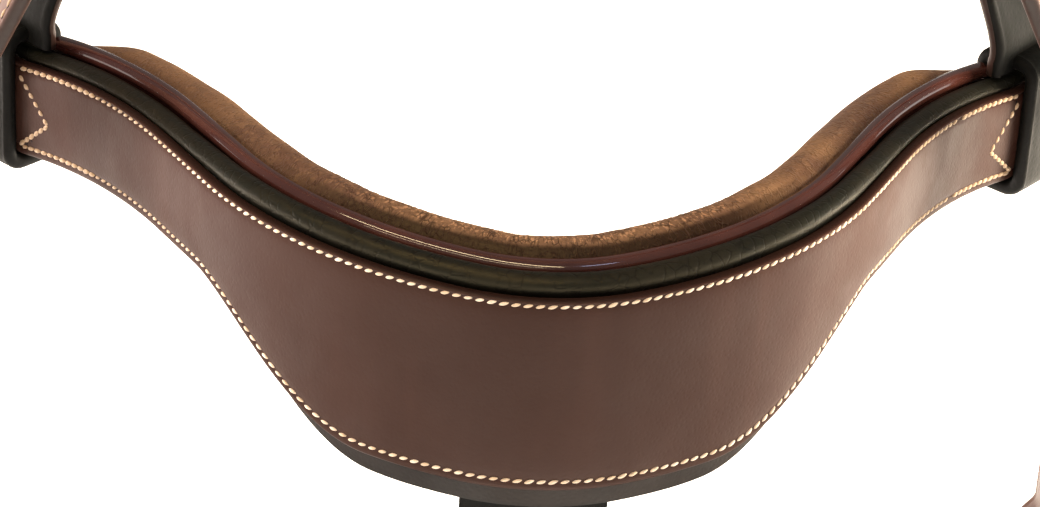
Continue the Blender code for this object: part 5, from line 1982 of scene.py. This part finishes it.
        def wrinkled(at: Vector, around: float) -> float:
            """Narrow folds across the roll, over broad lumps of stuffing.

            Args:
                at: A flat point of the lining.
                around: Its distance round the section.

            Returns:
                How far it moves outwards.
            """
            length, height = self.fold_size
            fold = abs(noise.noise(Vector((at.x / length, around / height, 3.0))))
            depth = 0.5 + 0.5 * noise.noise(Vector((at.x / self.fold_patch, around / self.fold_patch, 11.0)))
            kept = 1 - 0.85 * smooth((abs(at.x) - 0.045) / 0.03)
            return lumps(at, around) - self.fold_depth * kept * depth * max(0.0, 1 - fold / 0.3)

        ruffle(bm, wrinkled)
        # The edge layer holds the depth behind the front face; it places the painted crest highlight and the
        # painted valley shade.
        stamp(bm, lambda at: max(front - at.z, 0.0) if at.y > 0 else 0.02, rolled=True)

        def plump(flat: Vector) -> Vector:
            """Flattens the padding towards its two ends.

            Args:
                flat: A flat point of the lining.

            Returns:
                Its bent place.
            """
            share = smooth((self.lining_end - abs(flat.x)) / self.ends_from)
            lowered = 1 - self.lowered_by * smooth((abs(flat.x) - self.lowered_from) / self.lowered_over)
            depth = front + (flat.z - front) * (self.end_depth + (1 - self.end_depth) * share)
            rise = (self.end_height + (1 - self.end_height) * share) * lowered
            height = flat.y if flat.y < base else base + (flat.y - base) * rise
            return self.curve.lay(Vector((flat.x, height, depth)))

        bend(bm, plump)
        self.bench.finish("nose_lining", bm, [PADDING], "noseband",
                     ["nosepiece_lining", "nosepiece_foam_core"], 0.75)

    def make_seams(self) -> None:
        """The cream seams: along both edges, a fishtail at each end, and a tail between piping and lining."""
        curve, dip = self.curve, -self.seam_dip * 0.8
        bm = bmesh.new()
        places = [curve.end * (2 * k / self.seam_steps - 1) for k in range(self.seam_steps + 1)]
        seams = (
            ([s for s in places if abs(s) <= self.rope_from], SEAM),
            ([s for s in places if s <= -self.rope_from], ROPE_SEAM),
            ([s for s in places if s >= self.rope_from], ROPE_SEAM),
        )
        for run, stitching in seams:
            stitching.sew(bm, curve.place, [Vector((s, 0, dip)) for s in run])
            stitching.sew(bm, curve.place, [Vector((s, -curve.gap(s), dip)) for s in run])
        for sign in (1, -1):
            tip = Vector((sign * (curve.end - self.tail_notch), -curve.gap_end * 0.62, 0.0002))
            corner = Vector((sign * curve.end, -0.0012, 0.0001))
            TAIL_SEAM.sew(bm, curve.place, [corner, tip])
            corner.y = 0.0004 - curve.gap_end
            ROPE_SEAM.sew(bm, curve.place, [corner, tip])
        valley = [Vector((self.tail_from + self.tail_run * k / 6, self.tail_height, -self.tail_depth))
                  for k in range(7)]
        SEAM.sew(bm, curve.place, valley)
        self.bench.finish("nose_stitching", bm, [THREAD, NEEDLE_HOLE_SHADE], "noseband")


@dataclass
class Hangers(Group):
    """The nosepiece's end loops and the straps that carry them, buckled on the left."""

    curve: NoseCurve = NoseCurve()
    loop_width: float = 0.016
    loop_thick: float = 0.0028
    loop_corner: float = 0.003
    loop_inside: float = 0.0078
    bar_z: float = -0.200
    bend_z: float = -0.286
    lean_z: float = -0.308
    lean_x: float = 0.0775
    landing: float = 0.010
    foot_depth: float = 0.0040
    foot_shift: float = 0.005
    foot_sink: float = 0.0033
    loop_margin: float = 0.0026
    loop_rise: float = 0.0043
    way_steps: int = 40

    def loop_frame(self, sign: int) -> Matrix:
        """Places an end loop.

        Args:
            sign: The side, as the sign of X.

        Returns:
            Its frame: local X inwards through the nosepiece, local Y up and local Z along it.
        """
        spot, heading = self.curve.plan(sign * (self.curve.end + GAP + self.loop_width / 2))
        inward = Vector((-math.sin(heading), math.cos(heading), 0))
        return frame_of(Vector((*spot, self.curve.top_z - self.curve.end_drop)), inward, Z_AXIS)

    def loop_limits(self) -> tuple[Point, Point]:
        """The middle of the end loop's wall.

        Returns:
            Its low and its high corner, as (depth, height).
        """
        grow = GAP + self.loop_thick / 2
        low = (-grow, -self.curve.gap_end - self.loop_margin - grow)
        return low, (self.loop_inside + grow, self.loop_rise + grow)

    def way(self, sign: int, top_x: float, above: Sequence[Station]) -> Way:
        """The way of a hanger strap down to its end loop.

        Args:
            sign: The side, as the sign of X.
            top_x: Its distance from the middle where it hangs straight.
            above: The stations above its bend.

        Returns:
            The whole way, whose face turns from the cheek's to the nosepiece's.
        """
        frame = self.loop_frame(sign)
        seat = self.loop_limits()[1][1] + self.loop_thick / 2 + GAP
        facing, outward = -(frame.to_3x3() @ X_AXIS), X_AXIS * sign
        end = frame @ Vector((self.foot_depth, seat, -sign * self.foot_shift))
        knee = Vector((sign * self.lean_x, HANGER_LANE, self.lean_z))
        bend_at = Vector((sign * top_x, HANGER_LANE, self.bend_z))
        start = bend_at + Z_AXIS * (knee - bend_at).length
        anchors = [start, bend_at, knee, end + Z_AXIS * self.landing, end]
        pulls = [b - a for a, b in zip(anchors, anchors[1:])]
        stations = list(above)
        for k in range(self.way_steps + 1):
            share = k / self.way_steps
            tangent = bezier(pulls, share).normalized()
            across = tangent.cross(outward.lerp(facing, share**2)).normalized()
            stations.append(Station(bezier(anchors, share), across.cross(tangent).normalized(), across))
        last = stations[-1]
        stations.append(Station(last.point - Z_AXIS * self.foot_sink, last.out, last.across))
        return Way(stations)

    def make(self) -> None:
        """Builds the loops, the straps and their buckle."""
        low, high = self.loop_limits()
        for side in Side:
            ring = ring_way(self.loop_frame(side.value), low, high, self.loop_corner)
            make_band(self.bench, f"nose_loop_{side.word}", ring, self.loop_width, self.loop_thick, BLACK,
                      "noseband", [f"nosepiece_loop_{side.word}"], 0.0016)
        plane = side_frame(1, HANGER_LANE)
        x = HANGER_X + BILLET_UNDER
        buckle = Buckle("hanger", plane, (x, self.bar_z), (0, 1), (1, 0))
        billet_way = flat_way(plane, [(HANGER_X, JOIN_Z, 0), *buckle.billet_corners()])
        billet = buckle.billet("hanger_billet_leather", billet_way, 2, BLACK)
        billet.make(self.bench, drop_crossing("noseband", HANGER_X, HANGER_LANE), ["hanger_billet"])
        chape = flat_stations(plane, [*reversed(buckle.chape_corners()), (x, self.bar_z - 0.030, 0)])
        left = buckle.chape_strap("hanger_left_leather", self.way(1, x, chape), BLACK, True)
        left.backing = BROWN
        left.make(self.bench, "noseband", ["hanger_strap_left"])
        top = [Station(Vector((-HANGER_X, HANGER_LANE, JOIN_Z)), -X_AXIS, Y_AXIS)]
        right = Strap("hanger_right_leather", self.way(-1, HANGER_X, top), BLACK, backing=BROWN)
        right.make(self.bench, drop_crossing("noseband", -HANGER_X, HANGER_LANE), ["hanger_strap_right"])
        buckle.make(self.bench, "noseband", BLACK)


def bezier(anchors: Sequence[Vector], share: float) -> Vector:
    """A point of the curve that some anchors pull.

    Args:
        anchors: The anchors in order.
        share: How far along the curve, from 0 to 1.

    Returns:
        The point.
    """
    points = list(anchors)
    while len(points) > 1:
        points = [a.lerp(b, share) for a, b in zip(points, points[1:])]
    return points[0]


@dataclass
class ChinPart(Group):
    """The two chin straps, joined by a buckle behind the jaw, and the pad that slides on them."""

    curve: NoseCurve = NoseCurve()
    side_x: float = 0.113
    side_y: float = 0.026
    back_y: float = 0.092
    corner: float = 0.038
    bar_x: float = 0.010
    pad_length: float = 0.110
    pad_thick: float = 0.010
    pad_height: float = 0.030
    loop_place: float = 0.056
    layers: float = 0.0034

    def make(self) -> None:
        """Builds the chin part's pieces."""
        height = self.curve.top_z - self.curve.end_drop - self.curve.gap_end / 2
        level = frame_of(Z_AXIS * height, X_AXIS, Y_AXIS)
        depth = self.layers + 2 * GAP + STRAP_THICK / 2
        start = self.curve.place(Vector((self.curve.end + GAP, 0, -depth)))
        tab = self.curve.place(Vector((self.curve.tab_end, 0, -depth)))
        buckle = Buckle("chin", level, (self.bar_x, self.back_y + BILLET_UNDER), (-1, 0), (0, 1))
        way = flat_way(level, [
            (start.x, start.y, 0), (tab.x, tab.y, 0), (self.side_x, self.side_y, self.corner / 2),
            (self.side_x, buckle.spot.y, self.corner), *buckle.chape_corners(),
        ], -1)
        left = buckle.chape_strap("chin_left_leather", way, BLACK)
        left.make(self.bench, "noseband", ["chin_strap_left"])
        buckle.make(self.bench, "noseband", BLACK)
        way = flat_way(level, [
            (-start.x, start.y, 0), (-tab.x, tab.y, 0), (-self.side_x, self.side_y, self.corner / 2),
            (-self.side_x, self.back_y, self.corner), *buckle.billet_corners(),
        ])
        right = buckle.billet("chin_right_leather", way, 2, BLACK)
        right.make(self.bench, "noseband", ["chin_strap_right"])
        self.make_pad(level)

    def make_pad(self, level: Matrix) -> None:
        """The chin pad, with the loop that slides on the strap.

        Args:
            level: The chin straps' plane.
        """
        outer = self.back_y - STRAP_THICK / 2 - GAP
        y = outer - self.pad_thick / 2
        half = self.pad_length / 2
        way = flat_way(level, [(-half, y, 0), (half, y, 0)])
        pad = PadMaker("chin_cushion", way, self.pad_height, self.pad_thick, 0.8, 0.034, 0.42, 0.62, 0.0003)
        pad.make(self.bench, "chin_guard", ["chin_pad"])
        grow = GAP * 2 + KEEPER_THICK / 2
        across = frame_of(level @ Vector((-self.loop_place, 0, 0)), Y_AXIS, Z_AXIS)
        ring = ring_way(across, (outer - KEEPER_THICK * 1.5, -STRAP_WIDTH / 2 - grow),
                        (self.back_y + STRAP_THICK / 2 + grow, STRAP_WIDTH / 2 + grow), KEEPER_CORNER)
        make_band(self.bench, "chin_cushion_loop", ring, KEEPER_LENGTH * 2, KEEPER_THICK, BLACK,
                  "chin_guard", [], 0.0016)


@dataclass
class FlashPart(Group):
    """The flash: a loop sewn behind the nosepiece's lower edge, and the strap that it carries."""

    curve: NoseCurve = NoseCurve()
    lean: float = math.radians(35)
    depth: float = 0.0138
    drop: float = 0.0215
    shift: float = 0.004
    margin: float = 0.0030
    tab_length: float = 0.0127
    loop_length: float = 0.026
    loop_thick: float = 0.002
    half_width: float = 0.060
    long: float = 0.130
    corner: float = 0.036
    bar: float = 0.040
    hinge_half: float = 0.002

    def make(self) -> None:
        """Builds the flash's pieces."""
        low = -self.curve.gap_middle - self.margin
        hinge = self.curve.place(Vector((0, low - EDGE - GAP, -self.depth)))
        back = Vector((0, math.cos(self.lean), -math.sin(self.lean)))
        plane = frame_of(hinge - Z_AXIS * self.drop - Y_AXIS * self.shift, X_AXIS, back)
        grow = GAP + self.loop_thick / 2
        across = frame_of(plane.translation, back, plane.to_3x3() @ Z_AXIS)
        wall, half = STRAP_THICK / 2 + grow, STRAP_WIDTH / 2 + grow
        ring = ring_way(across, (-wall, -half), (wall, half), KEEPER_CORNER)
        make_band(self.bench, "flash_carrier", ring, self.loop_length, self.loop_thick, BLACK, "flash",
                  ["flash_loop"], 0.0019)
        self.make_tab(hinge)
        x = self.half_width + BILLET_UNDER
        buckle = Buckle("flash", plane, (x, self.bar), (0, -1), (1, 0))
        corners = [
            *reversed(buckle.billet_corners()), (self.half_width, 0, self.corner / 2),
            (-self.half_width, 0, self.corner / 2), (-self.half_width, self.long, self.corner),
            (x, self.long, self.corner), *buckle.chape_corners(),
        ]
        way = flat_way(plane, list(reversed(corners)), -1)
        billet = buckle.billet("flash_leather", way, 0, BLACK)
        strap = buckle.chape_strap("flash_leather", way, BLACK, True)
        strap.tip, strap.holes, strap.slits = True, billet.holes, billet.slits + strap.slits
        strap.make(self.bench, "flash", ["flash_strap"])
        buckle.make(self.bench, "flash", BLACK)

    def make_tab(self, hinge: Vector) -> None:
        """The leather tab that hangs the loop from the nosepiece's lower edge.

        Args:
            hinge: Where the tab bends.
        """
        top = hinge + Z_AXIS * 0.004
        foot = hinge - Z_AXIS * (self.tab_length + 0.001)
        way = Way([Station(point, -Y_AXIS, X_AXIS) for point in (top, hinge, foot)])
        tab = Strap("flash_tab", way, BLACK, self.loop_length, self.loop_thick)
        start, end = (hinge + Z_AXIS * offset for offset in (self.hinge_half, -self.hinge_half))
        tab.make(self.bench, Crossing("noseband", "flash", start, end))


@dataclass
class Studio:
    """The pale floor, the soft lights and the camera at the photograph's viewing angle."""

    target: Vector
    distance: float = 0.65
    elevation: float = math.radians(30.54)
    azimuth: float = math.radians(-4.83)
    roll: float = math.radians(3.86)
    image_width: float = 1040.0
    image_height: float = 507.0
    sensor: float = 36.0
    focal_pixels: float = 3924.5
    target_pixel: Point = (553.0, 307.8)
    glow: Colour = (1.0, 0.93, 0.86)
    glow_strength: float = 0.16

    def make(self, floor_z: float) -> None:
        """Builds the stage.

        Args:
            floor_z: The floor's height.
        """
        scene = bpy.context.scene
        scene.view_settings.view_transform = "Standard"
        self.make_camera(scene)
        self.make_world(scene)
        self.make_floor(floor_z)
        self.make_lights()

    def make_camera(self, scene: bpy.types.Scene) -> None:
        """The camera circles the front of the upper seam and puts it at its pixel of the photograph.

        Args:
            scene: The scene.
        """
        back = Vector((math.sin(self.azimuth) * math.cos(self.elevation),
                       -math.cos(self.azimuth) * math.cos(self.elevation), math.sin(self.elevation)))
        right = Z_AXIS.cross(back).normalized()
        looking = Matrix((right, back.cross(right), back)).transposed()
        across = (self.target_pixel[0] - self.image_width / 2) / self.focal_pixels
        down = (self.target_pixel[1] - self.image_height / 2) / self.focal_pixels
        offset = Vector((0, 0, -1)).rotation_difference(Vector((across, -down, -1))).to_matrix()
        turned = looking @ Matrix.Rotation(self.roll, 3, "Z") @ offset.inverted()
        data = bpy.data.cameras.new("camera")
        data.sensor_fit, data.sensor_width = "HORIZONTAL", self.sensor
        data.lens = self.focal_pixels / self.image_width * self.sensor
        data.clip_start, data.clip_end = 0.01, 20
        camera = bpy.data.objects.new("camera", data)
        camera.matrix_world = Matrix.Translation(self.target + back * self.distance) @ turned.to_4x4()
        scene.collection.objects.link(camera)
        scene.camera = camera

    def make_world(self, scene: bpy.types.Scene) -> None:
        """A white surround that lights the leather softly.

        Args:
            scene: The scene.
        """
        world = bpy.data.worlds.new("studio")
        world.use_nodes = True
        tree = world.node_tree
        light, seen = tree.nodes["Background"], tree.nodes.new("ShaderNodeBackground")
        for node, colour, strength in ((light, self.glow, self.glow_strength), (seen, (1, 1, 1), 1.0)):
            node.inputs["Color"].default_value = (*colour, 1)
            node.inputs["Strength"].default_value = strength
        rays, mixer = tree.nodes.new("ShaderNodeLightPath"), tree.nodes.new("ShaderNodeMixShader")
        tree.links.new(rays.outputs["Is Camera Ray"], mixer.inputs[0])
        tree.links.new(light.outputs[0], mixer.inputs[1])
        tree.links.new(seen.outputs[0], mixer.inputs[2])
        tree.links.new(mixer.outputs[0], tree.nodes["World Output"].inputs["Surface"])
        scene.world = world

    def make_floor(self, floor_z: float) -> None:
        """A wide pale sheet under the bridle.

        Args:
            floor_z: Its height.
        """
        bm = bmesh.new()
        bmesh.ops.create_grid(bm, x_segments=2, y_segments=2, size=4)
        bmesh.ops.translate(bm, verts=bm.verts, vec=(0, 0, floor_z))
        mesh = bpy.data.meshes.new("floor")
        bm.to_mesh(mesh)
        bm.free()
        recipe = Recipe("pale_floor")
        recipe.shade(Base_Color=(0.86, 0.86, 0.86, 1), Roughness=0.9, Emission_Color=(1, 1, 1, 1),
                     Emission_Strength=0.66)
        mesh.materials.append(recipe.material)
        floor = bpy.data.objects.new("floor", mesh)
        bpy.context.scene.collection.objects.link(floor)
        floor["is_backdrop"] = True

    def make_lights(self) -> None:
        """A wide soft light overhead, long warm lights in front, and one at each side."""
        self.lamp("overhead", -8, 84, 1.3, (1.2, 0.8), 13.0, (1.0, 0.90, 0.80), False)
        self.lamp("upper_strip", -44, 62, 1.1, (1.6, 0.05), 6.5, (1.0, 0.78, 0.46))
        self.lamp("lower_strip", -38, 40, 1.2, (1.5, 0.03), 2.2, (1.0, 0.78, 0.5))
        self.lamp("right_window", 40, 50, 1.2, (0.35, 0.08), 0.6, (0.60, 0.68, 1.0))
        self.lamp("right_side", 118, 0, 0.6, (0.36, 0.3), 23, (1.0, 0.86, 0.66), False)
        self.lamp("left_side", -122, 0, 0.6, (0.36, 0.3), 11.0, (1.0, 0.86, 0.78), False)

    def lamp(self, name: str, azimuth: float, elevation: float, distance: float, size: Point, power: float,
             colour: Colour, mirrored: bool = True) -> None:
        """One area light that faces the nosepiece.

        Args:
            name: The lamp's name.
            azimuth: Degrees round from the front, towards +X.
            elevation: Degrees above level.
            distance: Metres from the nosepiece.
            size: Its width and height.
            power: Its power in watts.
            colour: Its colour.
            mirrored: True if glossy surfaces mirror it.
        """
        turn, rise = math.radians(azimuth), math.radians(elevation)
        away = Vector((math.sin(turn) * math.cos(rise), -math.cos(turn) * math.cos(rise), math.sin(rise)))
        data = bpy.data.lights.new(name, "AREA")
        data.shape, data.size, data.size_y = "RECTANGLE", *size
        data.energy, data.color = power, colour
        lamp = bpy.data.objects.new(name, data)
        lamp.visible_glossy = mirrored
        lamp.matrix_world = Matrix.Translation(self.target + away * distance) @ \
            away.to_track_quat("Z", "Y").to_matrix().to_4x4()
        bpy.context.scene.collection.objects.link(lamp)


def main() -> None:
    """Dresses the frame, group by group, and sets the stage."""
    logging.basicConfig(level=logging.INFO, format="%(name)s: %(message)s")
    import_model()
    frame_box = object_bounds()
    floor_z = frame_box[0][2] - FLOOR_GAP
    bench, curve = Bench(), NoseCurve()
    for group in (
        Headpiece(bench), Browband(bench), *(Cheekpiece(bench, side) for side in Side), Throatlash(bench),
        Nosepiece(bench, curve), Hangers(bench, curve), ChinPart(bench, curve), FlashPart(bench, curve),
    ):
        group.make()
    Studio(Vector((0, curve.front, curve.top_z))).make(floor_z)
    LOG.info("%d pieces", bench.count)
    boxes = {"frame": frame_box, "visual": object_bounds()}
    {name: [list(corner) for corner in box] for name, box in boxes.items()}


if __name__ == "__main__":
    main()
